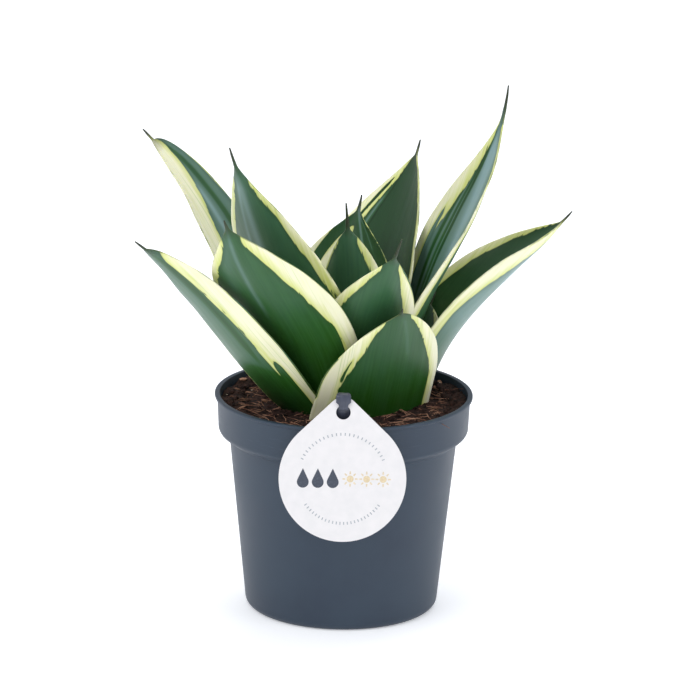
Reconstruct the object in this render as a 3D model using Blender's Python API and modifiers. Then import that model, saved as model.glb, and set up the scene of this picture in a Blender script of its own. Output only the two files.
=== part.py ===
"""Potted variegated snake plant, with its nursery pot, soil, tag card and tag stake.

Metres, +Z up. The origin is the middle of the pot's underside, on the surface that
the pot stands on, and the tag hangs on the -Y side. Run with
blender --background --python part.py, or from the text editor.
"""

import math

import bmesh
import bpy
import numpy as np
from mathutils import Vector

MM = 0.001

# ---------------------------------------------------------------- driving sizes
# Pot, a thin moulded nursery pot
POT_HEIGHT = 102 * MM
RIM_RADIUS = 60 * MM
WALL = 1.2 * MM
LIP_REACH = 1.2 * MM          # how far the thin lip stands out from the collar
LIP_HEIGHT = 1.4 * MM
COLLAR_HEIGHT = 16.5 * MM     # rim down to the collar's lower edge
COLLAR_DRAFT = 0.7 * MM
NECK_STEP = 5.2 * MM          # collar's lower edge in to the body
NECK_BEVEL = 4.5 * MM         # height of the bevel between them
BASE_RADIUS = 45 * MM
FOOT_FILLET = 4 * MM
RING_WIDTH = 5 * MM           # flat of the standing ring
RECESS = 3 * MM               # hollow under the floor
PAD_RADIUS = 12 * MM          # middle pad, level with the standing ring
DRAFT = 1.2 * MM              # slope of the recess walls
DRAIN_RADIUS = 4 * MM
DRAIN_CIRCLE = 24 * MM
DRAIN_COUNT = 8

# Soil
SOIL_DROP = 5 * MM            # rim down to the soil
SOIL_SLOPE = 1 * MM           # how much lower the soil lies at the wall
SOIL_FIT = 0.3 * MM
PLANTING_DEPTH = 3.8 * MM     # leaf bases sit this deep
PLANTING_ROOM = 0.6 * MM      # clearance round them

# Leaves
CROWN_ROOM = 46.3 * MM        # the rosette's axis in from the pot's mouth
CROWN_SIDE = math.radians(45) # the way that it stands off the pot's axis
LEAF_THICKNESS = 2.0 * MM     # at the middle of the base
LEAF_GAP = 0.5 * MM
MARGIN_THICKNESS = 0.8 * MM
AWL_RADIUS = 0.7 * MM         # the hard tip
AWL_POINT = 0.3 * MM
SEAT_GAP = 0.3 * MM

# Tag card, hung by its hole on the stake's hook
CARD_RADIUS = 29 * MM
CARD_TIP_RADIUS = 7 * MM
CARD_SPAN = 30.5 * MM         # middle of the disc up to the hole
CARD_THICKNESS = 0.5 * MM
CARD_HOLE_RADIUS = 3.3 * MM
CARD_RISE = 8 * MM            # hole above the rim
CARD_LEAN = math.radians(8)
CARD_FIT = 0.3 * MM

# Stake
STAKE_WIDTH = 6.8 * MM
STAKE_THICKNESS = 1.2 * MM
STAKE_DEPTH = 30 * MM         # below the pot's neck
STAKE_POINT = 9 * MM
TONGUE_WIDTH = 4.1 * MM
STAKE_FIT = 0.3 * MM
STAKE_ROOM = 2 * MM           # stake to the neck's inside

# One row for each leaf. layer counts outward from the crown's axis, foot is where
# the base stands and facing where the blade leans, in degrees anticlockwise from +X;
# swerve turns it by the tip. lean is from upright at the base, middle and tip. fold
# is the bend across the blade and roll its turn about its own length, at the base
# and the tip. clasp is the width at the base and belly the height of the widest
# place, as shares; a low taper gives a blunt end and a high one a slender end.
LEAVES = (
    dict(name="leaf_centre_spear", layer=4, foot=-109, facing=-107, swerve=-6,
         lean=(2, 8, 12), length=104, width=36, clasp=0.75, belly=0.5, taper=0.9,
         awl=13, fold=(120, 70), roll=(10, 10)),
    dict(name="leaf_centre_rear", layer=5, foot=131, facing=87, swerve=-27,
         lean=(-2, 14, 20), length=97, width=59, clasp=0.75, belly=0.5, taper=1.1,
         awl=7, fold=(120, 70), roll=(5, 0)),
    dict(name="leaf_back_broad", layer=8, foot=91, facing=70, swerve=-19,
         lean=(-5, 33, 21), length=126, width=66, clasp=0.75, belly=0.45, taper=0.9,
         awl=7, fold=(140, 30), roll=(5, -30)),
    dict(name="leaf_right_tall", layer=8, foot=15, facing=3, swerve=19,
         lean=(1, 25, 5), length=159, width=51, clasp=0.7, belly=0.45, taper=1.6,
         awl=12, fold=(100, 60), roll=(-15, 20)),
    dict(name="leaf_left_tall", layer=9, foot=214, facing=226, swerve=4,
         lean=(17, 27, 23), length=151, width=57, clasp=0.7, belly=0.4, taper=1.1,
         awl=9, fold=(80, 40), roll=(15, 0)),
    dict(name="leaf_front_inner", layer=9, foot=-91, facing=-75, swerve=22,
         lean=(5, 25, 26), length=103, width=50, clasp=0.75, belly=0.45, taper=1.0,
         awl=11, fold=(100, 50), roll=(0, -10)),
    dict(name="leaf_front_short", layer=11, foot=-75, facing=-61, swerve=-7,
         lean=(26, 21, 28), length=66, width=66, clasp=1.0, belly=0.3, taper=0.8,
         awl=3, fold=(60, 30), roll=(0, 15)),
    dict(name="leaf_front_left", layer=12, foot=227, facing=235, swerve=6,
         lean=(11, 43, 30), length=138, width=60, clasp=0.7, belly=0.4, taper=1.0,
         awl=5, fold=(80, 30), roll=(5, 20)),
    dict(name="leaf_back_outer", layer=12, foot=74, facing=79, swerve=1,
         lean=(8, 28, 41), length=90, width=43, clasp=0.75, belly=0.4, taper=0.9,
         awl=7, fold=(100, 60), roll=(0, -5)),
    dict(name="leaf_back_left_tall", layer=13, foot=161, facing=163, swerve=12,
         lean=(27, 28, 44), length=146, width=43, clasp=0.7, belly=0.45, taper=0.5,
         awl=7, fold=(60, 60), roll=(-20, -10)),
    dict(name="leaf_right_outer", layer=13, foot=21, facing=27, swerve=2,
         lean=(9, 50, 48), length=116, width=66, clasp=0.9, belly=0.4, taper=1.0,
         awl=7, fold=(130, 110), roll=(-25, -5)),
    dict(name="leaf_back_right_short", layer=13, foot=50, facing=50, swerve=3,
         lean=(12, 27, 41), length=50, width=43, clasp=0.75, belly=0.4, taper=0.9,
         awl=7, fold=(90, 60), roll=(-10, 0)),
    dict(name="leaf_back_left_short", layer=14, foot=123, facing=121, swerve=-3,
         lean=(14, 32, 38), length=75, width=45, clasp=0.75, belly=0.4, taper=0.9,
         awl=7, fold=(70, 60), roll=(-5, -5)),
    dict(name="leaf_left_outer", layer=14, foot=221, facing=213, swerve=1,
         lean=(44, 41, 52), length=133, width=39, clasp=0.75, belly=0.4, taper=0.5,
         awl=7, fold=(60, 70), roll=(20, 10)),
)

# ---------------------------------------------------------------- sizes that follow
SOIL_LEVEL = POT_HEIGHT - SOIL_DROP
HOLLOW_FLOOR = SOIL_LEVEL - PLANTING_DEPTH
LEAF_FOOT = HOLLOW_FLOOR + SEAT_GAP
LAYER_PITCH = LEAF_THICKNESS + LEAF_GAP

COLLAR_RADIUS = RIM_RADIUS - LIP_REACH
COLLAR_FOOT_RADIUS = COLLAR_RADIUS - COLLAR_DRAFT
NECK_RADIUS = COLLAR_FOOT_RADIUS - NECK_STEP
COLLAR_FOOT = POT_HEIGHT - COLLAR_HEIGHT
NECK = COLLAR_FOOT - NECK_BEVEL
CROWN_OFFSET = COLLAR_RADIUS - WALL - CROWN_ROOM
CROWN = (CROWN_OFFSET * math.cos(CROWN_SIDE), CROWN_OFFSET * math.sin(CROWN_SIDE))

ROUND_STEPS = 56
LEAF_SPANS = 6                # facets across a blade
LEAF_ROWS = 18                # sections along it
AWL_ROWS = 3


# ---------------------------------------------------------------- helpers
def clear_scene():
    for obj in list(bpy.data.objects):
        bpy.data.objects.remove(obj, do_unlink=True)


def new_collection(name):
    collection = bpy.data.collections.new(name)
    bpy.context.scene.collection.children.link(collection)
    return collection


def srgb(hex_colour):
    """Linear RGBA from an sRGB hex string."""
    channels = [int(hex_colour[i:i + 2], 16) / 255 for i in (1, 3, 5)]
    linear = [c / 12.92 if c <= 0.04045 else ((c + 0.055) / 1.055) ** 2.4 for c in channels]
    return (*linear, 1.0)


def new_material(name, hex_colour, roughness, metallic=0.0):
    material = bpy.data.materials.new(name)
    material.use_nodes = True
    shader = material.node_tree.nodes["Principled BSDF"]
    shader.inputs["Base Color"].default_value = srgb(hex_colour)
    shader.inputs["Roughness"].default_value = roughness
    shader.inputs["Metallic"].default_value = metallic
    return material


def add_object(name, data, collection, material=None):
    obj = bpy.data.objects.new(name, data)
    collection.objects.link(obj)
    if material is not None:
        data.materials.append(material)
    return obj


def add_cutter(name, mesh, collection):
    cutter = add_object(name, mesh, collection)
    cutter.hide_render = True
    cutter.display_type = 'WIRE'
    return cutter


def cut(obj, cutter):
    boolean = obj.modifiers.new(cutter.name, 'BOOLEAN')
    boolean.operation = 'DIFFERENCE'
    boolean.solver = 'EXACT'
    boolean.object = cutter


def mesh_from(bm, name, smooth=False):
    mesh = bpy.data.meshes.new(name)
    bm.to_mesh(mesh)
    bm.free()
    if smooth:
        mesh.shade_smooth()
        mesh.set_sharp_from_angle(angle=math.radians(40))
    return mesh


def turned(name, profile, collection, material):
    """Solid of revolution from (radius, height) points, from the inner or top end of
    the axis, out, down the outer side and back to the axis."""
    bm = bmesh.new()
    verts = [bm.verts.new((radius, 0, height)) for radius, height in profile]
    for start, end in zip(verts, verts[1:]):
        bm.edges.new((start, end))
    obj = add_object(name, mesh_from(bm, name), collection, material)
    screw = obj.modifiers.new("Turn", 'SCREW')
    screw.steps = ROUND_STEPS
    screw.render_steps = ROUND_STEPS
    screw.use_merge_vertices = True
    screw.merge_threshold = 0.00001
    screw.use_smooth_shade = True
    return obj


def sleeve(sections, name, smooth=False):
    """Closed mesh through a row of sections, each a ring of as many points."""
    rows, count, _ = sections.shape
    bm = bmesh.new()
    bmesh.ops.create_grid(bm, x_segments=count, y_segments=rows - 1, size=1)
    bm.verts.ensure_lookup_table()
    for vertex in bm.verts:
        row, column = divmod(vertex.index, count + 1)
        vertex.co = sections[row, column % count]
    bmesh.ops.remove_doubles(bm, verts=bm.verts, dist=0.000001)
    open_edges = [edge for edge in bm.edges if edge.is_boundary]
    bmesh.ops.holes_fill(bm, edges=open_edges, sides=count)
    bmesh.ops.recalc_face_normals(bm, faces=bm.faces)
    return mesh_from(bm, name, smooth)


def arc(centre_r, centre_z, radius, start, end, count):
    """Points (radius, height) on an arc, angles in degrees from +X, both ends kept."""
    angles = np.radians(np.linspace(start, end, count))
    return [(centre_r + radius * math.cos(a), centre_z + radius * math.sin(a)) for a in angles]


# ---------------------------------------------------------------- pot and soil
def pot_outside():
    """Lip, collar, bevel, tapered body, standing ring, recess and pad, top to bottom."""
    soft = 0.3 * MM
    ring_out = BASE_RADIUS - FOOT_FILLET
    ring_in = ring_out - RING_WIDTH
    points = [
        (RIM_RADIUS - soft, POT_HEIGHT),
        (RIM_RADIUS, POT_HEIGHT - soft),
        (RIM_RADIUS, POT_HEIGHT - LIP_HEIGHT),
        (COLLAR_RADIUS, POT_HEIGHT - LIP_HEIGHT - soft),
        (COLLAR_FOOT_RADIUS, COLLAR_FOOT),
        (COLLAR_FOOT_RADIUS - 0.12 * NECK_STEP, COLLAR_FOOT - 0.3 * NECK_BEVEL),
        (NECK_RADIUS + 0.25 * NECK_STEP, NECK + 0.18 * NECK_BEVEL),
        (NECK_RADIUS, NECK),
    ]
    points += arc(ring_out, FOOT_FILLET, FOOT_FILLET, 0, -90, 5)
    points += [
        (ring_in, 0),
        (ring_in - DRAFT, RECESS),
        (PAD_RADIUS + DRAFT, RECESS),
        (PAD_RADIUS, 0),
        (0, 0),
    ]
    return points


def pot_inside(gap=0.0):
    """The cavity's surface from the middle of the floor up to the collar's foot, drawn
    in by gap for what fills it."""
    ring_out = BASE_RADIUS - FOOT_FILLET
    ring_in = ring_out - RING_WIDTH
    floor = RECESS + WALL + gap
    inset = WALL + gap
    points = [
        (0, inset),
        (PAD_RADIUS - inset, inset),
        (PAD_RADIUS + DRAFT - inset, floor),
        (ring_in - DRAFT + inset, floor),
        (ring_in + inset, inset),
    ]
    points += arc(ring_out, FOOT_FILLET, FOOT_FILLET - inset, -90, 0, 4)
    points += [
        (NECK_RADIUS - inset, NECK),
        (NECK_RADIUS + 0.25 * NECK_STEP - inset, NECK + 0.18 * NECK_BEVEL),
        (COLLAR_FOOT_RADIUS - 0.12 * NECK_STEP - inset, COLLAR_FOOT - 0.3 * NECK_BEVEL),
        (COLLAR_FOOT_RADIUS - inset, COLLAR_FOOT),
    ]
    return points


def collar_inside(height, gap=0.0):
    """Inner radius of the collar at a height."""
    share = (height - COLLAR_FOOT) / (POT_HEIGHT - COLLAR_FOOT)
    return COLLAR_FOOT_RADIUS + COLLAR_DRAFT * share - WALL - gap


def build_pot(collection, cutters, material):
    profile = pot_inside() + [(collar_inside(POT_HEIGHT), POT_HEIGHT)] + pot_outside()
    pot = turned("plastic_pot", profile, collection, material)
    bm = bmesh.new()
    for i in range(DRAIN_COUNT):
        angle = 2 * math.pi * (i + 0.5) / DRAIN_COUNT
        hole = bmesh.ops.create_cone(bm, cap_ends=True, segments=20, radius1=DRAIN_RADIUS,
                                     radius2=DRAIN_RADIUS, depth=4 * (RECESS + WALL))
        bmesh.ops.translate(bm, verts=hole["verts"], vec=(
            DRAIN_CIRCLE * math.cos(angle), DRAIN_CIRCLE * math.sin(angle), 0))
    cut(pot, add_cutter("drain_holes", mesh_from(bm, "drain_holes"), cutters))
    return pot


def build_soil(collection, cutters, material, leaves):
    edge = SOIL_LEVEL - SOIL_SLOPE
    wall_radius = collar_inside(edge, SOIL_FIT)
    under = pot_inside(SOIL_FIT)
    top = [(0, SOIL_LEVEL), (wall_radius - 8 * MM, SOIL_LEVEL), (wall_radius, edge)]
    soil = turned("potting_soil", top + under[::-1], collection, material)
    cut(soil, planting_hollow(leaves, cutters))
    grown = stake_mesh("stake_slot", grow=STAKE_FIT)
    cut(soil, add_cutter("stake_slot", grown, cutters))
    return soil


def planting_hollow(leaves, cutters):
    """Cutter for the shallow place that the leaf bases stand in: the outline round all
    of them, with room to spare."""
    crown = Vector((*CROWN, 0))
    buried = []
    for leaf in leaves:
        points = [vertex.co for vertex in leaf.data.vertices]
        buried += [point for point in points if point.z < SOIL_LEVEL]
        for edge in leaf.data.edges:
            low, high = sorted((points[i] for i in edge.vertices), key=lambda p: p.z)
            if low.z < SOIL_LEVEL < high.z:
                buried.append(low.lerp(high, (SOIL_LEVEL - low.z) / (high.z - low.z)))
    bm = bmesh.new()
    for point in buried:
        flat = Vector((point.x, point.y, 0)) - crown
        edge = crown + flat * (1 + PLANTING_ROOM / max(flat.length, PLANTING_ROOM))
        bm.verts.new((edge.x, edge.y, HOLLOW_FLOOR))
        bm.verts.new((edge.x, edge.y, SOIL_LEVEL + SOIL_DROP))
    hull = bmesh.ops.convex_hull(bm, input=bm.verts)
    spare = {item for key in ("geom_interior", "geom_unused") for item in hull[key]
             if isinstance(item, bmesh.types.BMVert)}
    bmesh.ops.delete(bm, geom=list(spare), context='VERTS')
    bmesh.ops.recalc_face_normals(bm, faces=bm.faces)
    return add_cutter("planting_hollow", mesh_from(bm, "planting_hollow"), cutters)


# ---------------------------------------------------------------- leaves
def between(base, middle, tip, t):
    """Quadratic through three values at the base, the middle and the tip."""
    return base * (1 - t) * (1 - 2 * t) + 4 * middle * t * (1 - t) + tip * t * (2 * t - 1)


def half_width(leaf, t):
    """Half of a blade's width along its length, ending in the awl."""
    blade_end = 1 - leaf["awl"] / leaf["length"]
    x = np.clip(t / blade_end, 0, 1)
    rise = np.sin(np.clip(x / leaf["belly"], 0, 1) * math.pi / 2)
    lower = leaf["clasp"] + (1 - leaf["clasp"]) * rise
    above = np.clip((x - leaf["belly"]) / (1 - leaf["belly"]), 0, 1)
    upper = (1 - above ** 2) ** leaf["taper"]
    blade = leaf["width"] * MM / 2 * np.where(x < leaf["belly"], lower, upper)
    point = np.clip((t - blade_end) / (1 - blade_end), 0, 1)
    awl = AWL_RADIUS + (AWL_POINT - AWL_RADIUS) * point
    return np.hypot(blade, awl)


def blade_frames(leaf, t):
    """Centre line of a blade with, at each place, the way to its inner face and across.
    The base section is level, so the leaf stands flat on the soil."""
    lean = np.radians(between(*leaf["lean"], t))
    turn = np.radians(leaf["facing"] + leaf["swerve"] * t)
    outward = np.stack([np.cos(turn), np.sin(turn), np.zeros_like(t)], axis=-1)
    up = np.array([0.0, 0.0, 1.0])
    along = outward * np.sin(lean)[:, None] + up * np.cos(lean)[:, None]
    steps = along[1:] + along[:-1]
    steps /= np.linalg.norm(steps, axis=1)[:, None]
    steps *= (np.diff(t) * leaf["length"] * MM)[:, None]
    foot = math.radians(leaf["foot"])
    reach = leaf["layer"] * LAYER_PITCH
    start = np.array([CROWN[0] + reach * math.cos(foot), CROWN[1] + reach * math.sin(foot),
                      LEAF_FOOT])
    centre = np.vstack([start, start + np.cumsum(steps, axis=0)])
    level = np.clip(t / 0.15, 0, 1)[:, None]
    level = level * level * (3 - 2 * level)
    axis = along * level + up * (1 - level)
    axis /= np.linalg.norm(axis, axis=1)[:, None]
    inward = -outward + axis * np.sum(outward * axis, axis=1)[:, None]
    inward /= np.linalg.norm(inward, axis=1)[:, None]
    across = np.cross(axis, inward)
    roll = np.radians(np.interp(t, (0, 1), leaf["roll"]))[:, None]
    face = inward * np.cos(roll) + across * np.sin(roll)
    side = across * np.cos(roll) - inward * np.sin(roll)
    return centre, face, side


def leaf_rows(leaf):
    """Where the sections lie: closer together towards the tip, with three on the awl."""
    blade_end = 1 - leaf["awl"] / leaf["length"]
    blade = np.sin(np.linspace(0, 0.45 * math.pi, LEAF_ROWS - AWL_ROWS))
    awl = 1 - (1 - blade_end) * np.linspace(1, 0, AWL_ROWS + 1)[1:]
    return np.concatenate([blade / blade[-1] * blade_end, awl])


def leaf_mesh(leaf):
    """A sleeve of sections, each a bent strip that is thick in the middle and thin at
    the margins, closed at both ends."""
    t = leaf_rows(leaf)
    centre, face, side = blade_frames(leaf, t)
    width = half_width(leaf, t)
    fold = np.radians(np.interp(t, (0, 1), leaf["fold"])) / 2
    bend = (width / fold)[:, None]
    u = np.linspace(-1, 1, LEAF_SPANS + 1)
    ring = []
    for outer, places in ((1, u), (-1, u[::-1])):
        margin = MARGIN_THICKNESS / 2 * (1 - 0.3 * t)[:, None]
        middle = LEAF_THICKNESS / 2 * (1 - 0.45 * t)[:, None]
        half = margin + (middle - margin) * (1 - places[None, :] ** 2)
        half = np.minimum(half, 0.9 * width[:, None])
        angle = places[None, :] * fold[:, None]
        radius = bend + outer * half
        ring.append(centre[:, None] + side[:, None] * (np.sin(angle) * radius)[..., None]
                    + face[:, None] * (bend - np.cos(angle) * radius)[..., None])
    return sleeve(np.concatenate(ring, axis=1), leaf["name"], smooth=True)


# ---------------------------------------------------------------- tag
def card_frame():
    """The hole's middle on the card's middle plane, the way up the card and the way out
    of its face. The card leans on the lip's outer edge."""
    up = Vector((0, math.sin(CARD_LEAN), math.cos(CARD_LEAN)))
    out = Vector((0, -math.cos(CARD_LEAN), math.sin(CARD_LEAN)))
    lip = Vector((0, -(RIM_RADIUS + CARD_FIT), POT_HEIGHT))
    hole = lip + out * (CARD_THICKNESS / 2) + up * (CARD_RISE / math.cos(CARD_LEAN))
    return hole, up, out


def closed_spline(curve, points):
    spline = curve.splines.new('POLY')
    spline.points.add(len(points) - 1)
    for point, (x, y) in zip(spline.points, points):
        point.co = (x, y, 0, 1)
    spline.use_cyclic_u = True


def build_card(collection, material):
    """Flat drop: a disc and a small tip circle joined by their tangents, with a hole
    in the middle of the tip."""
    hole, _, _ = card_frame()
    slope = math.degrees(math.asin((CARD_RADIUS - CARD_TIP_RADIUS) / CARD_SPAN))
    curve = bpy.data.curves.new("tag_card", 'CURVE')
    curve.dimensions = '2D'
    curve.fill_mode = 'BOTH'
    curve.extrude = CARD_THICKNESS / 2
    outline = arc(0, 0, CARD_TIP_RADIUS, slope, 180 - slope, 13)
    outline += arc(0, -CARD_SPAN, CARD_RADIUS, 180 - slope, 360 + slope, 57)
    closed_spline(curve, outline)
    closed_spline(curve, arc(0, 0, CARD_HOLE_RADIUS, 0, 360, 29)[:-1])
    card = add_object("tag_card", curve, collection, material)
    card.location = hole
    card.rotation_euler = (math.radians(90) - CARD_LEAN, 0, 0)
    weld = card.modifiers.new("Join caps", 'WELD')
    weld.merge_threshold = 0.00001
    return card


def stake_path():
    """Centre line of the stake, as (point, width): up from its point in the soil, behind
    the card, over the card's tip, down its face and back through the hole."""
    hole, up, out = card_frame()
    behind = CARD_THICKNESS / 2 + CARD_FIT + 0.85 * MM + STAKE_THICKNESS / 2
    ahead = CARD_THICKNESS / 2 + CARD_FIT + STAKE_THICKNESS / 2
    bend = (behind + ahead) / 2
    crest = CARD_TIP_RADIUS - 0.25 * MM
    half_hole = math.sqrt(CARD_HOLE_RADIUS ** 2 - (TONGUE_WIDTH / 2) ** 2)
    tongue = half_hole - CARD_FIT - STAKE_THICKNESS / 2
    turn = STAKE_THICKNESS * 0.75
    shoulder = hole + up * CARD_TIP_RADIUS * 0.3 - out * behind
    neck = Vector((0, -(NECK_RADIUS - WALL - STAKE_ROOM), NECK))
    down = (neck - shoulder).normalized()
    path = [(neck + down * STAKE_DEPTH, STAKE_WIDTH * 0.3),
            (neck + down * (STAKE_DEPTH - STAKE_POINT), STAKE_WIDTH),
            (neck, STAKE_WIDTH)]
    path += [(neck.lerp(shoulder, share), STAKE_WIDTH) for share in (0.5, 0.9, 1.0)]
    for angle in np.radians(np.linspace(0, 180, 9)):
        path.append((hole + up * (crest + bend * math.sin(angle))
                     - out * ((behind - ahead) / 2 + bend * math.cos(angle)), STAKE_WIDTH))
    waist = crest - (crest - tongue) * 0.55
    path.append((hole + up * waist + out * ahead, STAKE_WIDTH * 0.97))
    low = tongue + turn
    path.append((hole + up * low + out * ahead, TONGUE_WIDTH))
    for angle in np.radians((30, 60, 90)):
        path.append((hole + up * (low - turn * math.sin(angle))
                     + out * (ahead - turn * (1 - math.cos(angle))), TONGUE_WIDTH))
    path.append((hole + up * tongue - out * (CARD_THICKNESS / 2 + CARD_FIT), TONGUE_WIDTH))
    return path


def stake_mesh(name, grow=0.0):
    """Flat bar along the stake's path; grow enlarges it all round."""
    path = stake_path()
    points = np.array([point[:] for point, _ in path])
    half_width_here = np.array([width for _, width in path]) / 2 + grow
    half = STAKE_THICKNESS / 2 + grow
    steps = np.diff(points, axis=0)
    steps /= np.linalg.norm(steps, axis=1)[:, None]
    after = np.vstack([steps, steps[-1:]])
    along = after + np.vstack([steps[:1], steps])
    along /= np.linalg.norm(along, axis=1)[:, None]
    square = np.stack([np.zeros(len(points)), -along[:, 2], along[:, 1]], axis=-1)
    square *= half / np.sum(along * after, axis=1)[:, None]
    points[0] -= steps[0] * grow
    across = np.outer(half_width_here, (1, 0, 0))
    sections = np.stack([points - across - square, points + across - square,
                         points + across + square, points - across + square], axis=1)
    return sleeve(sections, name)


# ---------------------------------------------------------------- assembly
def main():
    clear_scene()
    plant = new_collection("potted_snake_plant")
    cutters = new_collection("cutters")
    plastic = new_material("Slate grey moulded plastic", "#485666", 0.5)
    compost = new_material("Peat compost", "#2d201e", 0.95)
    blade = new_material("Snake plant leaf", "#3a5c40", 0.45)
    card_stock = new_material("White coated card", "#f7f9fd", 0.45)
    stake_plastic = new_material("Dark slate plastic", "#3b3f4e", 0.45)
    leaves = [add_object(leaf["name"], leaf_mesh(leaf), plant, blade) for leaf in LEAVES]
    build_pot(plant, cutters, plastic)
    build_soil(plant, cutters, compost, leaves)
    build_card(plant, card_stock)
    add_object("tag_stake", stake_mesh("tag_stake"), plant, stake_plastic)


if __name__ == "__main__":
    main()
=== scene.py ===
"""Looks of a potted variegated snake plant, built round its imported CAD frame.

Laid out as an add-on: an operator makes each group of pieces, the sizes and colours
that a user would change are scene properties, and the sidebar panel lists both.
"""

import math

import bmesh
import bpy
import numpy as np
from bpy.props import FloatProperty, FloatVectorProperty, IntProperty, PointerProperty
from mathutils import Matrix, Vector, noise


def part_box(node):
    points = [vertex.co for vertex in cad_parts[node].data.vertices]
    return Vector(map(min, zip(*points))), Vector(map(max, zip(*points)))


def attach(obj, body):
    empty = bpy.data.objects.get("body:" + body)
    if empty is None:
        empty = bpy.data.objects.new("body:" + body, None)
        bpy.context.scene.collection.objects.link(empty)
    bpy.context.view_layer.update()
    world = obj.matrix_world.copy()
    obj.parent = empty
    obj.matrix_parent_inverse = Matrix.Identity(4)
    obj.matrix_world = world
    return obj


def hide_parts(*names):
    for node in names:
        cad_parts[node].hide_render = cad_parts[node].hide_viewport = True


bl_info = {
    "name": "Potted snake plant",
    "version": (1, 0, 0),
    "blender": (4, 5, 0),
    "location": "3D View > Sidebar > Snake Plant",
    "description": "Leaves, pot, compost, tag and studio stage of a potted snake plant",
    "category": "Object",
}

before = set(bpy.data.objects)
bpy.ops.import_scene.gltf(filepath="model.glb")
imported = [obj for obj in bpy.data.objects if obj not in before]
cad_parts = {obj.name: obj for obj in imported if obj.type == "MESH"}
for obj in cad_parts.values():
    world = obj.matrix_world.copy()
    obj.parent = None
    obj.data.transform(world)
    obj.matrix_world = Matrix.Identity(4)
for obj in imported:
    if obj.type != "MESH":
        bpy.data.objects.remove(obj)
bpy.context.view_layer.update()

MM = 0.001
BODY = "root"
SAME_POINT = 0.001 * MM     # points closer than this are one

# Sizes that the frame's solids were made with, in metres
RIM_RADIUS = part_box("plastic_pot")[1].x
POT_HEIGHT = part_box("plastic_pot")[1].z
WALL = 1.2 * MM
LIP_REACH = 1.2 * MM
LIP_HEIGHT = 1.4 * MM
COLLAR_HEIGHT = 16.5 * MM
COLLAR_DRAFT = 0.7 * MM
NECK_STEP = 5.2 * MM
NECK_BEVEL = 4.5 * MM
BASE_RADIUS = 45 * MM
FOOT_FILLET = 4 * MM
RING_WIDTH = 5 * MM
RECESS = 3 * MM
PAD_RADIUS = 12 * MM
DRAFT = 1.2 * MM
DRAIN_RADIUS = 4 * MM
DRAIN_CIRCLE = 24 * MM
DRAIN_COUNT = 8
CORNER_ROUND = 0.5 * MM
SOIL_LEVEL = POT_HEIGHT - 5 * MM

# The compost's crust: its grid, its gap to the wall, how deep it reaches and how far
# its middle height is sunk, and how far crumbs and fibres keep from the wall
CRUST_RINGS, CRUST_SPOKES = 64, 192
CRUST_GAP = 0.6 * MM
CRUST_DEPTH = 2.6 * MM
CRUST_SINK = 0.4 * MM
CRUMB_GAP = 2.4 * MM
FIBRE_GAP = 9 * MM

LEAF_FOOT = 93.5 * MM
LEAF_PITCH = 2.5 * MM
LEAF_THICKNESS = 2.0 * MM
MARGIN_THICKNESS = 0.8 * MM
AWL_RADIUS = 0.7 * MM
AWL_POINT = 0.3 * MM
AWL_SWELL = 1.5             # how much stouter the finished awl is where it leaves the blade
GREEN_TIP = 0.09            # share of a blade, next to its awl, where the green spreads out
AWL_SECTIONS = 8
MARGIN_ROUND = 0.5 * MM     # how far in from its edge a blade rounds over
LONG_WAVE, SHORT_WAVE = 9.0, 4.3    # rates of the waves along a blade, mm to the radian
CROWN_ROOM = 46.3 * MM

CARD_RADIUS = 29 * MM
CARD_TIP_RADIUS = 7 * MM
CARD_SPAN = 30.5 * MM
CARD_THICKNESS = 0.5 * MM
CARD_HOLE_RADIUS = 3.3 * MM
CARD_RISE = 8 * MM
CARD_LEAN = math.radians(8)
CARD_FIT = 0.3 * MM
STAKE_WIDTH = 6.8 * MM
STAKE_THICKNESS = 1.2 * MM
STAKE_DEPTH = 30 * MM
STAKE_POINT = 9 * MM
TONGUE_WIDTH = 4.1 * MM
STAKE_ROOM = 2 * MM
STAKE_SLACK = 0.85 * MM     # how much further the stake stands off the card's back
STAKE_CORNER = 0.25 * MM
HOOK_DROP = 0.25 * MM

# The card's print: its middle line, its height over the card, and its symbols
PRINT_LINE = -CARD_SPAN
PRINT_FOOT = CARD_THICKNESS / 2 - 0.01 * MM
PRINT_TOP = CARD_THICKNESS / 2 + 0.03 * MM
TICK_RING = 20.5 * MM
TICK_ARCS = (("print_arc_top", 154, 26), ("print_arc_foot", 216, 324))
DROP_SIZE = 9 * MM
DROP_FOOT = 1.6 * MM
DROP_PLACES = (-18 * MM, -11.2 * MM, -4.4 * MM)
SUN_RADIUS = 1.6 * MM
SUN_RAY = (2.2 * MM, 3.5 * MM, 0.4 * MM)
SUN_PLACES = (3.5 * MM, 11 * MM, 18.5 * MM)

# The studio: where the camera and the lamps aim, the floor, and each lamp's place,
# width and power
CAMERA_AIM = (0.00258, 0, 0.1226)
LAMP_AIM = (0, 0, 0.12)
FLOOR_CORNERS = ((-4, -4, 0), (4, -4, 0), (4, 6, 0), (-4, 6, 0))
LAMPS = (("key_softbox", (-0.9, -1.1, 1.3), 0.9, 9),
         ("fill_softbox", (1.2, -0.8, 0.9), 1.0, 4.5),
         ("top_softbox", (0.1, 0.5, 1.6), 1.2, 10))

# Sizes that follow from them
COLLAR_RADIUS = RIM_RADIUS - LIP_REACH
COLLAR_FOOT_RADIUS = COLLAR_RADIUS - COLLAR_DRAFT
NECK_RADIUS = COLLAR_FOOT_RADIUS - NECK_STEP
COLLAR_FOOT = POT_HEIGHT - COLLAR_HEIGHT
NECK = COLLAR_FOOT - NECK_BEVEL
MOUTH_RADIUS = COLLAR_RADIUS - WALL
CROWN = (MOUTH_RADIUS - CROWN_ROOM) * math.sqrt(0.5)

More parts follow.
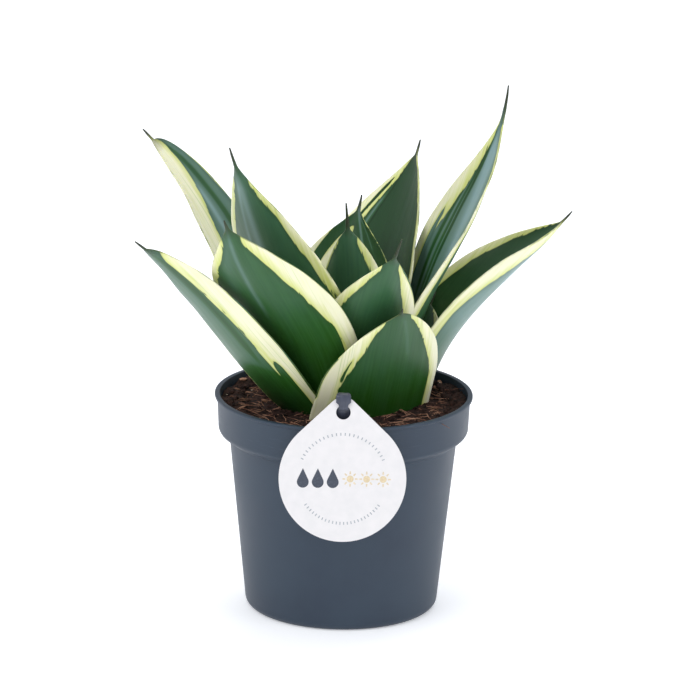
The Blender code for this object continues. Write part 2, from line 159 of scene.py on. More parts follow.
# One row for each leaf, as in the frame: where it stands and how it leans, then its
# variegation. plus and minus are where the cream margin begins on the two sides, as
# shares of the half width, at the base, a third, two thirds and the tip. streaks are
# (place across, from, to along, half width in mm, strength), green where negative
# and cream where positive. The stripes are the same, dark or pale on the green: some
# are the leaf's own streaks, some pale ones are painted sheen and some dark ones painted
# shade. The bloom pair, for the outer skin and then the inner one, greys the green up
# the blade where positive, painted sheen over the wax's own grey bloom, and darkens it
# towards deep green where negative, painted shade. On the centre spear it lightens a
# leaf that sits in shade, painted light.
LEAVES = (
    dict(name="leaf_centre_spear", layer=4, foot=-109, facing=-107, swerve=-6,
         lean=(2, 8, 12), length=104, width=36, clasp=0.75, belly=0.5, taper=0.9,
         awl=13, fold=(120, 70), roll=(10, 10), bloom_sheen_and_shade=(0.14, 0.14),
         plus=(0.8, 0.85, 0.93, 0.72), minus=(0.8, 0.7, 0.63, 0.62)),
    dict(name="leaf_centre_rear", layer=5, foot=131, facing=87, swerve=-27,
         lean=(-2, 14, 20), length=97, width=59, clasp=0.75, belly=0.5, taper=1.1,
         awl=7, fold=(120, 70), roll=(5, 0), bloom_sheen_and_shade=(0, -0.5), green_tip=0.0,
         plus=(0.9, 0.95, 0.99, 0.97), minus=(0.5, 0.42, 0.28, -0.1),
         streaks=((-0.74, 0.45, 0.98, 2.6, -30),),
         stripes_sheen_and_shade=((0.3, 0.6, 0.98, 1.0, 1.1), (0.62, 0.7, 0.98, 0.8, 0.8))),
    dict(name="leaf_back_broad", layer=8, foot=91, facing=70, swerve=-19,
         lean=(-5, 33, 21), length=126, width=66, clasp=0.75, belly=0.45, taper=0.9,
         awl=7, fold=(140, 30), roll=(5, -30), bloom_sheen_and_shade=(0, -0.95), green_tip=0.0,
         plus=(0.8, 0.84, 0.9, 0.88), minus=(0.8, 0.8, 0.68, 0.6),
         streaks=((-0.8, 0.6, 0.86, 0.7, -9),),
         # Its pale stripe at -0.6 is a painted gloss highlight
         stripes_sheen_and_shade=((-0.6, 0.3, 0.84, 1.3, 1.5), (-0.52, 0.3, 0.9, 0.5, -0.6))),
    dict(name="leaf_right_tall", layer=8, foot=15, facing=3, swerve=19,
         lean=(1, 25, 5), length=159, width=51, clasp=0.7, belly=0.45, taper=1.6,
         awl=12, fold=(100, 60), roll=(-15, 20), bloom_sheen_and_shade=(0.2, 0.6), green_tip=0.0,
         plus=(0.8, 0.75, 0.8, 0.6), minus=(0.85, 0.82, 0.58, 0.6),
         streaks=((-0.8, 0.3, 0.62, 1.0, -5), (-0.7, 0.35, 0.55, 0.5, -3)),
         # Of its stripes the dark ones are its own streaks, and the wide pale one at 0.1 is
         # painted sheen
         stripes_sheen_and_shade=((-0.35, 0.2, 0.86, 0.7, -1.8), (-0.46, 0.25, 0.88, 0.5, -1.6),
                  (-0.6, 0.25, 0.9, 0.8, -1.2), (0.1, 0.4, 0.9, 4.0, 0.9))),
    dict(name="leaf_left_tall", layer=9, foot=214, facing=226, swerve=4,
         lean=(17, 27, 23), length=151, width=57, clasp=0.7, belly=0.4, taper=1.1,
         awl=9, fold=(80, 40), roll=(15, 0), bloom_sheen_and_shade=(0.15, -0.2),
         plus=(0.75, 0.78, 0.8, 0.55), minus=(0.88, 0.9, 0.77, 0.74),
         streaks=((-0.93, 0.35, 0.62, 0.5, -3),),
         stripes_sheen_and_shade=((0.1, 0.55, 0.92, 2.2, 0.6), (0.35, 0.6, 0.9, 1.0, 0.5))),
    dict(name="leaf_front_inner", layer=9, foot=-91, facing=-75, swerve=22,
         lean=(5, 25, 26), length=103, width=50, clasp=0.75, belly=0.45, taper=1.0,
         awl=11, fold=(100, 50), roll=(0, -10), bloom_sheen_and_shade=(0.05, 0.05),
         plus=(0.8, 0.8, 0.76, 0.6), minus=(0.75, 0.72, 0.58, 0.56),
         streaks=((-0.99, 0.5, 0.85, 1.0, -9),)),
    dict(name="leaf_front_short", layer=11, foot=-75, facing=-61, swerve=-7,
         lean=(26, 21, 28), length=66, width=66, clasp=1.0, belly=0.3, taper=0.8,
         awl=3, fold=(60, 30), roll=(0, 15), bloom_sheen_and_shade=(-0.15, 0),
         plus=(0.76, 0.7, 0.61, 0.86), minus=(0.8, 0.8, 0.67, 0.76),
         streaks=((0.74, 0.38, 0.62, 0.8, -3.5), (1.0, 0.15, 0.68, 1.0, -12)),
         stripes_sheen_and_shade=((-0.3, 0.5, 0.95, 2.0, 0.25),)),
    dict(name="leaf_front_left", layer=12, foot=227, facing=235, swerve=6,
         lean=(11, 43, 30), length=138, width=60, clasp=0.7, belly=0.4, taper=1.0,
         awl=5, fold=(80, 30), roll=(5, 20),
         plus=(0.85, 0.85, 0.86, 0.55), minus=(0.82, 0.74, 0.55, 0.62),
         streaks=((-0.72, 0.2, 0.42, 0.7, -4), (-1.0, 0.3, 0.85, 0.3, -12)),
         stripes_sheen_and_shade=((0.15, 0.45, 0.98, 1.0, 0.4), (0.5, 0.6, 0.95, 3.0, 0.15))),
    dict(name="leaf_back_outer", layer=12, foot=74, facing=79, swerve=1,
         lean=(8, 28, 41), length=90, width=43, clasp=0.75, belly=0.4, taper=0.9,
         awl=7, fold=(100, 60), roll=(0, -5),
         plus=(0.8, 0.75, 0.68, 0.65), minus=(0.85, 0.78, 0.72, 0.7)),
    dict(name="leaf_back_left_tall", layer=13, foot=161, facing=163, swerve=12,
         lean=(27, 28, 44), length=146, width=43, clasp=0.7, belly=0.45, taper=0.5,
         awl=7, fold=(60, 60), roll=(-20, -10), bloom_sheen_and_shade=(0.3, 0.45), green_tip=0.0,
         plus=(0.9, 0.96, 0.97, 0.97), minus=(0.6, 0.35, -0.12, -0.75),
         stripes_sheen_and_shade=((0.62, 0.4, 0.95, 1.4, -0.8), (0.32, 0.4, 0.8, 1.6, 0.7))),
    dict(name="leaf_right_outer", layer=13, foot=21, facing=27, swerve=2,
         lean=(9, 50, 48), length=116, width=66, clasp=0.9, belly=0.4, taper=1.0,
         awl=7, fold=(130, 110), roll=(-25, -5), bloom_sheen_and_shade=(0.8, -0.6), green_tip=0.0,
         plus=(0.85, 0.86, 0.62, 0.4), minus=(0.92, 0.92, 0.83, 0.76),
         streaks=((0.97, 0.62, 0.88, 0.5, -6),),
         stripes_sheen_and_shade=((0.42, 0.5, 0.98, 1.2, 1.6),)),
    dict(name="leaf_back_right_short", layer=13, foot=50, facing=50, swerve=3,
         lean=(12, 27, 41), length=50, width=43, clasp=0.75, belly=0.4, taper=0.9,
         awl=7, fold=(90, 60), roll=(-10, 0), bloom_sheen_and_shade=(0, -0.6),
         plus=(0.78, 0.74, 0.66, 0.7), minus=(0.98, 0.98, 0.98, 0.9)),
    dict(name="leaf_back_left_short", layer=14, foot=123, facing=121, swerve=-3,
         lean=(14, 32, 38), length=75, width=45, clasp=0.75, belly=0.4, taper=0.9,
         awl=7, fold=(70, 60), roll=(-5, -5),
         plus=(0.82, 0.8, 0.72, 0.66), minus=(0.76, 0.7, 0.62, 0.66)),
    dict(name="leaf_left_outer", layer=14, foot=221, facing=213, swerve=1,
         lean=(44, 41, 52), length=133, width=39, clasp=0.75, belly=0.4, taper=0.5,
         awl=7, fold=(60, 70), roll=(20, 10), bloom_sheen_and_shade=(0.22, 0),
         plus=(0.8, 0.78, 0.8, 0.75), minus=(0.76, 0.5, 0.4, 0.48),
         streaks=((-0.64, 0.0, 0.33, 1.4, -6), (-0.5, 0.2, 0.4, 0.7, 2),
                  (-1.0, 0.0, 0.74, 0.7, -14)),
         # The second stripe, 9 mm across the base of the blade, darkens it all there: painted
         # shade
         stripes_sheen_and_shade=((-0.25, 0.3, 0.95, 1.6, -0.7), (0.1, -0.15, 0.32, 9.0, -0.9))),
)


# ---------------------------------------------------------------- colours and nodes
def linear(hex_colour):
    """Linear RGB from an sRGB hex string."""
    channels = [int(hex_colour[i:i + 2], 16) / 255 for i in (1, 3, 5)]
    return [c / 12.92 if c <= 0.04045 else ((c + 0.055) / 1.055) ** 2.4 for c in channels]


def opaque(colour):
    return (*colour[:3], 1.0)


def add_node(tree, kind, inputs=(), output=0, **settings):
    """Adds a node with its settings. inputs are values, or the sockets that feed them:
    a tuple fills the sockets in order, a dict by name or place. Returns one output."""
    node = tree.nodes.new(kind)
    for name, value in settings.items():
        setattr(node, name, value)
    keyed = inputs if isinstance(inputs, dict) else dict(enumerate(inputs))
    for key, value in keyed.items():
        if isinstance(value, bpy.types.NodeSocket):
            tree.links.new(value, node.inputs[key])
        else:
            node.inputs[key].default_value = value
    return node.outputs[output] if node.outputs else None


def new_material(name, roughness, **shader_values):
    """A material with its Principled shader's own numbers set. Returns the material,
    its tree and the shader."""
    material = bpy.data.materials.new(name)
    material.use_nodes = True
    tree = material.node_tree
    shader = tree.nodes["Principled BSDF"]
    shader.inputs["Roughness"].default_value = roughness
    for key, value in shader_values.items():
        shader.inputs[key.replace("_", " ")].default_value = value
    return material, tree, shader


def new_geometry_tree(name, inputs):
    """A Geometry Nodes tree with a geometry input and output, a material input, and the
    named sizes and counts with their defaults. Returns the tree and its input sockets."""
    tree = bpy.data.node_groups.new(name, 'GeometryNodeTree')
    tree.is_modifier = True
    tree.interface.new_socket("Geometry", in_out='INPUT', socket_type='NodeSocketGeometry')
    tree.interface.new_socket("Geometry", in_out='OUTPUT', socket_type='NodeSocketGeometry')
    for label, default in inputs.items():
        kind = 'NodeSocketInt' if isinstance(default, int) else 'NodeSocketFloat'
        socket = tree.interface.new_socket(label, in_out='INPUT', socket_type=kind)
        socket.default_value = default
    tree.interface.new_socket("Material", in_out='INPUT', socket_type='NodeSocketMaterial')
    sockets = {socket.name: socket for socket in tree.nodes.new('NodeGroupInput').outputs}
    return tree, sockets


def end_tree(tree, geometry, material):
    """Realize Instances and Set Material, then the output."""
    real = add_node(tree, 'GeometryNodeRealizeInstances', (geometry,))
    painted = add_node(tree, 'GeometryNodeSetMaterial', {"Geometry": real, "Material": material})
    add_node(tree, 'NodeGroupOutput', (painted,))


def layered(tree, base, layers):
    """A colour with others laid over it in turn, each by its own factor."""
    for factor, colour in layers:
        base = add_node(tree, 'ShaderNodeMix', {0: factor, 6: base, 7: colour}, output=2,
                        data_type='RGBA')
    return base


def two_tone(tree, shader, vector, size_mm, tones, low=0.3, high=0.7, detail=4.0,
             roughness=0.5):
    """Colours a surface in two close tones with soft noise of the size given. Returns
    the noise and the colour."""
    cloudy = add_node(tree, 'ShaderNodeTexNoise', {
        "Vector": vector, "Scale": 1 / (size_mm * MM), "Detail": detail,
        "Roughness": roughness})
    tone = add_node(tree, 'ShaderNodeMapRange', (cloudy, low, high))
    dark, light = (opaque(colour) for colour in tones)
    colour = layered(tree, dark, [(tone, light)])
    tree.links.new(colour, shader.inputs["Base Color"])
    return cloudy, colour


def fine_relief(tree, shader, vector, size_mm, depth_mm, strength, detail=2.0):
    """Raises a surface's own fine grain, of the size and depth given."""
    grain = add_node(tree, 'ShaderNodeTexNoise', {
        "Vector": vector, "Scale": 1 / (size_mm * MM), "Detail": detail})
    bump = add_node(tree, 'ShaderNodeBump', {
        "Strength": strength, "Distance": depth_mm * MM, "Height": grain})
    tree.links.new(bump, shader.inputs["Normal"])


# ---------------------------------------------------------------- meshes and pieces
def linked(name, data):
    """A new object in the scene."""
    obj = bpy.data.objects.new(name, data)
    bpy.context.scene.collection.objects.link(obj)
    return obj


def add_piece(name, mesh, materials=(), replaces=None):
    """Makes a finished mesh a piece of the plant, with its finish and what it stands for."""
    for material in materials:
        mesh.materials.append(material)
    piece = linked(name, mesh)
    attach(piece, BODY)
    if replaces:
        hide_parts(replaces)


def plain_mesh(obj):
    """The mesh an object comes to, with the object itself taken away."""
    graph = bpy.context.evaluated_depsgraph_get()
    graph.update()
    made = bpy.data.meshes.new_from_object(obj.evaluated_get(graph))
    made.name = obj.name
    bpy.data.objects.remove(obj)
    if not made.polygons:
        raise RuntimeError(f"{made.name}: it has no faces")
    return made


def grown(name, mesh, tree, values):
    """The plain mesh that a Geometry Nodes tree makes from a mesh."""
    obj = linked(name, mesh)
    modifier = obj.modifiers.new(tree.name, 'NODES')
    modifier.node_group = tree
    for item in tree.interface.items_tree:
        if item.in_out == 'INPUT' and item.name in values:
            modifier[item.identifier] = values[item.name]
    return plain_mesh(obj)


def closed(mesh, cap_sides=0, lift=0.0):
    """Merges a mesh's doubles, caps its open ends, lifts it and turns its faces out."""
    bm = bmesh.new()
    bm.from_mesh(mesh)
    if cap_sides:
        ends = [edge for edge in bm.edges if edge.is_boundary]
        bmesh.ops.holes_fill(bm, edges=ends, sides=cap_sides)
    else:
        bmesh.ops.remove_doubles(bm, verts=bm.verts, dist=SAME_POINT)
    bmesh.ops.translate(bm, verts=bm.verts, vec=(0, 0, lift))
    bmesh.ops.recalc_face_normals(bm, faces=bm.faces)
    bm.to_mesh(mesh)
    bm.free()


def smooth(mesh, angle=40):
    mesh.shade_smooth()
    mesh.set_sharp_from_angle(angle=math.radians(angle))


def mesh_of(name, points, faces):
    """Mesh from arrays of points and faces."""
    mesh = bpy.data.meshes.new(name)
    mesh.from_pydata(np.asarray(points).tolist(), [], [list(face) for face in faces])
    mesh.update()
    return mesh


def line_mesh(name, points):
    """Mesh with no faces, of edges from point to point."""
    mesh = bpy.data.meshes.new(name)
    mesh.from_pydata(points, [(i, i + 1) for i in range(len(points) - 1)], [])
    return mesh


def set_attribute(mesh, name, values):
    layer = mesh.attributes.new(name, 'FLOAT', 'POINT')
    layer.data.foreach_set("value", np.asarray(values, dtype=np.float32).ravel())


def ring_faces(rows, count):
    """Quads between rows of rings of count points each."""
    here = np.arange(count)
    there = (here + 1) % count
    quads = []
    for row in range(rows - 1):
        low, high = row * count, (row + 1) * count
        quads += np.stack([low + here, low + there, high + there, high + here], axis=1).tolist()
    return quads


# ---------------------------------------------------------------- leaf shape
def between(base, middle, tip, t):
    """Quadratic through three values at the base, the middle and the tip."""
    return base * (1 - t) * (1 - 2 * t) + 4 * middle * t * (1 - t) + tip * t * (2 * t - 1)


def half_width(leaf, t):
    """Half of a blade's width along its length, ending in the awl."""
    blade_end = 1 - leaf["awl"] / leaf["length"]
    x = np.clip(t / blade_end, 0, 1)
    rise = np.sin(np.clip(x / leaf["belly"], 0, 1) * math.pi / 2)
    lower = leaf["clasp"] + (1 - leaf["clasp"]) * rise
    above = np.clip((x - leaf["belly"]) / (1 - leaf["belly"]), 0, 1)
    upper = (1 - above ** 2) ** leaf["taper"]
    blade = leaf["width"] * MM / 2 * np.where(x < leaf["belly"], lower, upper)
    point = np.clip((t - blade_end) / (1 - blade_end), 0, 1)
    awl = AWL_RADIUS * AWL_SWELL + (AWL_POINT - AWL_RADIUS * AWL_SWELL) * point ** 0.8
    return np.hypot(blade, awl)


def blade_frames(leaf, t):
    """Centre line of a blade with, at each place, the way to its inner face and across."""
    lean = np.radians(between(*leaf["lean"], t))
    turn = np.radians(leaf["facing"] + leaf["swerve"] * t)
    outward = np.stack([np.cos(turn), np.sin(turn), np.zeros_like(t)], axis=-1)
    up = np.array([0.0, 0.0, 1.0])
    along = outward * np.sin(lean)[:, None] + up * np.cos(lean)[:, None]
    steps = along[1:] + along[:-1]
    steps /= np.linalg.norm(steps, axis=1)[:, None]
    steps *= (np.diff(t) * leaf["length"] * MM)[:, None]
    foot = math.radians(leaf["foot"])
    reach = leaf["layer"] * LEAF_PITCH
    start = np.array([CROWN + reach * math.cos(foot), CROWN + reach * math.sin(foot),
                      LEAF_FOOT])
    centre = np.vstack([start, start + np.cumsum(steps, axis=0)])
    level = np.clip(t / 0.15, 0, 1)[:, None]
    level = level * level * (3 - 2 * level)
    axis = along * level + up * (1 - level)
    axis /= np.linalg.norm(axis, axis=1)[:, None]
    inward = -outward + axis * np.sum(outward * axis, axis=1)[:, None]
    inward /= np.linalg.norm(inward, axis=1)[:, None]
    across = np.cross(axis, inward)
    roll = np.radians(np.interp(t, (0, 1), leaf["roll"]))[:, None]
    face = inward * np.cos(roll) + across * np.sin(roll)
    side = across * np.cos(roll) - inward * np.sin(roll)
    return centre, face, side


def leaf_rows(leaf, blade_rows, awl_rows):
    """Places of the sections along a leaf, closer together towards the tip."""
    blade_end = 1 - leaf["awl"] / leaf["length"]
    blade = np.sin(np.linspace(0, 0.47 * math.pi, blade_rows))
    awl = 1 - (1 - blade_end) * np.linspace(1, 0, awl_rows + 1)[1:]
    return np.concatenate([blade / blade[-1] * blade_end, awl])


def streak_field(items, t, u, width):
    """Sum of soft-ended lines along the blade, at each (row, place across)."""
    field = np.zeros(u.shape)
    for place, start, end, half, strength in items:
        middle, reach = (start + end) / 2, (end - start) / 2
        run = np.clip((reach - np.abs(t - middle)) / (0.35 * reach), 0, 1)[:, None]
        pointed = half * MM * (0.35 + 0.65 * run)
        away = (u - place) * width[:, None] / pointed
        field += strength * run * np.exp(-away ** 2)
    return field


def leaf_mesh(leaf, number, settings):
    """A thick blade with rounded margins, closed at both ends. Its UV map holds the
    place across and along in metres, and its attributes say how deep in the cream
    margin each point lies, in millimetres, and how far up the leaf."""
    t = leaf_rows(leaf, settings.rows, AWL_SECTIONS)
    centre, face, side = blade_frames(leaf, t)
    width = half_width(leaf, t)
    fold = np.radians(np.interp(t, (0, 1), leaf["fold"])) / 2
    bend = (width / fold)[:, None]
    # Places across: even over the blade, crowded where the margin rounds over
    rim = np.minimum(MARGIN_ROUND, 0.4 * width)[:, None]
    inner = (1 - rim / width[:, None]) * np.linspace(-1, 1, settings.spans)[None, :]
    edge = 1 - rim / width[:, None] * np.array([0.45, 0.12, 0.0])[None, :]
    u = np.concatenate([-edge[:, ::-1], inner, edge], axis=1)
    margin = MARGIN_THICKNESS / 2 * (1 - 0.3 * t)[:, None]
    middle = LEAF_THICKNESS / 2 * (1 - 0.45 * t)[:, None]
    half = margin + (middle - margin) * (1 - u ** 2)
    half = np.minimum(half, 0.9 * width[:, None])
    in_rim = (1 - (1 - np.abs(u)) * width[:, None] / rim).clip(0)
    half *= np.sqrt(np.clip(1 - in_rim ** 2, 0, 1))
    # The blade isn't quite even: slow waves, widest at the margins above the base
    phase = 2.4 * number
    along = (t * leaf["length"])[:, None]
    wave = np.sin(along / LONG_WAVE + phase + 1.7 * u)
    wave += 0.6 * np.sin(along / SHORT_WAVE - phase + 3.1 * u)
    swell = settings.waviness * np.clip((t - 0.25) / 0.3, 0, 1)[:, None]
    swell = swell * np.clip((0.97 - t) / 0.1, 0, 1)[:, None] * (0.25 + 0.75 * u ** 2)
    wave = wave * swell
    skins = []
    for outer, order in ((1, slice(None)), (-1, slice(-2, 0, -1))):
        places, thick, rise = u[:, order], half[:, order], wave[:, order]
        angle = places * fold[:, None]
        radius = bend + outer * thick - rise
        skins.append(centre[:, None] + side[:, None] * (np.sin(angle) * radius)[..., None]
                     + face[:, None] * (bend - np.cos(angle) * radius)[..., None])
    ring = np.concatenate(skins, axis=1)
    rows, count, _ = ring.shape
    mesh = mesh_of(leaf["name"], ring.reshape(-1, 3), ring_faces(rows, count))
    closed(mesh, cap_sides=count)

    knots = (0, 1 / 3, 2 / 3, 1)
    plus = np.interp(t, knots, leaf["plus"])[:, None]
    minus = np.interp(t, knots, leaf["minus"])[:, None]
    cream = np.maximum(u - plus, -u - minus) * width[:, None] / MM
    cream += streak_field(leaf.get("streaks", ()), t, u, width)
    blade_share = t * leaf["length"] / (leaf["length"] - leaf["awl"])
    green_tip = leaf.get("green_tip", GREEN_TIP)
    if green_tip:
        cream -= 6 * np.clip((blade_share - 1) / green_tip + 1, 0, 1)[:, None] ** 1.6
    # Stripes, then each skin's bloom fading out towards the base: pale values are the leaf's own
    # grey bloom and streaks and painted sheen, dark values its own dark streaks and painted
    # shade
    stripe_sheen_and_shade = streak_field(leaf.get("stripes_sheen_and_shade", ()), t, u, width)
    high = np.clip((t - 0.1) / 0.25, 0, 1)[:, None]
    outer_marks_sheen_and_shade, inner_marks_sheen_and_shade = (stripe_sheen_and_shade + high * bloom_sheen_and_shade for bloom_sheen_and_shade in leaf.get("bloom_sheen_and_shade", (0, 0)))

    def whole(outer, inner=None):
        """One value a point, for the outer skin and then back along the inner one."""
        inner = outer if inner is None else inner
        return np.concatenate([outer, inner[:, -2:0:-1]], axis=1).ravel()

    even = np.ones_like(u)
    dry = np.clip((blade_share - 0.95) / 0.08, 0, 1)[:, None]
    set_attribute(mesh, "cream", whole(cream))
    set_attribute(mesh, "stripe_sheen_and_shade", whole(outer_marks_sheen_and_shade, inner_marks_sheen_and_shade))
    set_attribute(mesh, "share", whole(even * t[:, None]))
    set_attribute(mesh, "awl", whole(even * dry))
    set_attribute(mesh, "edge", whole((1 - np.abs(u)) * width[:, None] / MM))
    set_attribute(mesh, "leaf_number", whole(even * number))
    flat = np.stack([whole(u * width[:, None]), whole(even * along * MM)], axis=1)
    corners = np.empty(len(mesh.loops), dtype=np.int64)
    mesh.loops.foreach_get("vertex_index", corners)
    blade_map = mesh.uv_layers.new(name="blade")
    blade_map.data.foreach_set("uv", flat[corners].astype(np.float32).ravel())
    smooth(mesh, 60)
    return mesh


# ---------------------------------------------------------------- leaf finish
def leaf_material(settings):
    """Snake plant leaf: a thick waxy skin, moulded smooth by growth. The wax gives a
    broad satin sheen that greys the green where light glances off it, and more of that
    grey sheen is painted into the colour, along with painted shade in dark stripes."""
    material, tree, shader = new_material(
        "Waxed snake plant leaf", 0.4, IOR=1.45, Specular_IOR_Level=0.36, Coat_Weight=0.08,
        Coat_Roughness=0.28, Subsurface_Weight=0.2, Subsurface_Scale=1.5 * MM,
        Subsurface_Radius=(1.0, 0.9, 0.4))
    blade = add_node(tree, 'ShaderNodeUVMap', uv_map="blade")
    across, along, _ = add_node(tree, 'ShaderNodeSeparateXYZ', (blade,)).node.outputs
    number, cream, share, stripe_sheen_and_shade, awl, edge = (
        add_node(tree, 'ShaderNodeAttribute', attribute_name=name, output="Fac")
        for name in ("leaf_number", "cream", "share", "stripe_sheen_and_shade", "awl", "edge"))
    apart = add_node(tree, 'ShaderNodeMath', (number, 11.3), operation='MULTIPLY')
    own = add_node(tree, 'ShaderNodeCombineXYZ', (across, along, apart))

    def grain(across_mm, along_mm, spread=None, detail=2.0, roughness=0.5, clamp=True):
        """Noise drawn out along the leaf, with features of the sizes given. spread gives
        two of its values and what they become."""
        scaled = add_node(tree, 'ShaderNodeMapping', {
            "Vector": own, "Scale": (1 / (across_mm * MM), 1 / (along_mm * MM), 1.0)})
        drawn = add_node(tree, 'ShaderNodeTexNoise', {
            "Vector": scaled, "Scale": 1.0, "Detail": detail, "Roughness": roughness})
        if spread is None:
            return drawn
        return add_node(tree, 'ShaderNodeMapRange', (drawn, *spread), clamp=clamp)

    def swayed(level, sway, gain):
        """A level from 0 to 1, moved up and down by a noise round its middle."""
        sway = add_node(tree, 'ShaderNodeMath', (sway, 0.5), operation='SUBTRACT')
        return add_node(tree, 'ShaderNodeMath', (sway, gain, level),
                        operation='MULTIPLY_ADD', use_clamp=True)

    # Where green meets cream the boundary wanders over some 30 mm, and here and there a
    # finger about 1 mm wide and 12 mm long reaches across it
    reach = settings.finger_depth
    depth = cream
    for wander in (grain(5, 34, (0.3, 0.7, -reach, reach), roughness=0.4, clamp=False),
                   grain(1.1, 12, (0.56, 0.74, 0.0, -1.1))):
        depth = add_node(tree, 'ShaderNodeMath', (depth, wander), operation='ADD')
    in_cream, near_cream, up_leaf = (
        add_node(tree, 'ShaderNodeMapRange', ramp, interpolation_type='SMOOTHSTEP')
        for ramp in ((depth, -0.25, 0.35), (depth, -2.6, 0.0), (share, 0.12, 0.75)))

    # Greens: deep at the base, greyer up the blade, with lengthwise grain and faint bands.
    # The pale stripes are partly the leaf's own grey bloom and streaks and partly painted
    # sheen; the dark ones are partly its own dark streaks and partly painted shade
    pale_stripe_and_sheen, dark_stripe_and_shade, halo = (
        add_node(tree, 'ShaderNodeMath', pair, operation='MULTIPLY', use_clamp=True)
        for pair in ((stripe_sheen_and_shade, 0.75), (stripe_sheen_and_shade, -0.8), (near_cream, 0.3)))
    deep = opaque(settings.deep_green)
    green = layered(tree, opaque(settings.base_green), (
        (swayed(up_leaf, grain(7, 22, detail=3.0), 1.3), opaque(settings.upper_green)),
        (grain(0.9, 45, (0.35, 0.65, 0.0, 0.26)), opaque(settings.vein_green)),
        (pale_stripe_and_sheen, opaque(settings.grey_bloom_and_sheen)), (dark_stripe_and_shade, deep), (halo, deep)))

    # Cream: yellow beside the green, paler outwards, with thin green lines running through
    outward = add_node(tree, 'ShaderNodeMapRange', (depth, 0.2, 4.5))
    threads = grain(0.7, 60, (0.6, 0.72, 0.0, 0.5), detail=1.0)
    cream_colour = layered(tree, opaque(settings.yellow_cream), (
        (swayed(outward, grain(1.4, 30), 1.2), opaque(settings.pale_cream)),
        (threads, opaque(settings.thread_green))))

    # The very edge is a thin hard line, green-brown, partly the leaf's own margin and partly
    # painted shade on the blade's thickness, and the awl dries to brown
    rim = add_node(tree, 'ShaderNodeMapRange', (edge, 0.12, 0.5, 0.75, 0.0))
    rim = add_node(tree, 'ShaderNodeMath', (rim, grain(30, 9, (0.4, 0.6, 0.0, 1.0))),
                   operation='MULTIPLY')
    colour = layered(tree, green, (
        (in_cream, cream_colour), (rim, opaque(settings.edge_line_and_shade)),
        (awl, opaque(settings.awl_colour))))
    tree.links.new(colour, shader.inputs["Base Color"])

    # Satin that varies a little, and ribs along the leaf about 1.2 mm apart
    gloss = grain(4, 30, (0.3, 0.7, 0.33, 0.5), detail=3.0)
    tree.links.new(gloss, shader.inputs["Roughness"])
    bump = add_node(tree, 'ShaderNodeBump', {
        "Strength": 0.4, "Distance": 0.1 * MM, "Height": grain(1.2, 70, roughness=0.6)})
    tree.links.new(bump, shader.inputs["Normal"])
    return material


# ---------------------------------------------------------------- pot
def arc(centre_r, centre_z, radius, start, end, count):
    """Points (radius, height) on an arc, angles in degrees from +X, both ends kept."""
    angles = np.radians(np.linspace(start, end, count))
    return [(centre_r + radius * math.cos(a), centre_z + radius * math.sin(a)) for a in angles]


def softened(points, radius, steps=3):
    """A profile with each inner corner rounded inside itself."""
    made = [points[0]]
    for before, here, after in zip(points, points[1:], points[2:]):
        here = np.array(here)
        ends = []
        for other in (before, after):
            away = np.array(other) - here
            length = np.linalg.norm(away)
            ends.append(here + away / length * min(radius, 0.45 * length))
        for s in np.linspace(0, 1, steps):
            made.append(tuple((1 - s) ** 2 * ends[0] + 2 * s * (1 - s) * here + s * s * ends[1]))
    made.append(points[-1])
    return made


def pot_profile():
    """From the middle of the floor's upper side, up the inside, over the lip and down
    the outside to the middle of the underside."""
    ring_out = BASE_RADIUS - FOOT_FILLET
    ring_in = ring_out - RING_WIDTH
    floor = RECESS + WALL
    inside = [(0, WALL), (PAD_RADIUS - WALL, WALL), (PAD_RADIUS + DRAFT - WALL, floor),
              (ring_in - DRAFT + WALL, floor), (ring_in + WALL, WALL)]
    inside += arc(ring_out, FOOT_FILLET, FOOT_FILLET - WALL, -90, 0, 7)
    inside += [(NECK_RADIUS - WALL, NECK),
               (NECK_RADIUS + 0.25 * NECK_STEP - WALL, NECK + 0.18 * NECK_BEVEL),
               (COLLAR_FOOT_RADIUS - 0.12 * NECK_STEP - WALL, COLLAR_FOOT - 0.3 * NECK_BEVEL),
               (COLLAR_FOOT_RADIUS - WALL, COLLAR_FOOT), (MOUTH_RADIUS, POT_HEIGHT)]
    outside = [(RIM_RADIUS, POT_HEIGHT), (RIM_RADIUS, POT_HEIGHT - LIP_HEIGHT),
               (COLLAR_RADIUS, POT_HEIGHT - LIP_HEIGHT - 0.3 * MM),
               (COLLAR_FOOT_RADIUS, COLLAR_FOOT),
               (COLLAR_FOOT_RADIUS - 0.12 * NECK_STEP, COLLAR_FOOT - 0.3 * NECK_BEVEL),
               (NECK_RADIUS + 0.25 * NECK_STEP, NECK + 0.18 * NECK_BEVEL), (NECK_RADIUS, NECK)]
    outside += arc(ring_out, FOOT_FILLET, FOOT_FILLET, 0, -90, 9)
    outside += [(ring_in, 0), (ring_in - DRAFT, RECESS), (PAD_RADIUS + DRAFT, RECESS),
                (PAD_RADIUS, 0), (0, 0)]
    return softened(inside + outside, CORNER_ROUND)


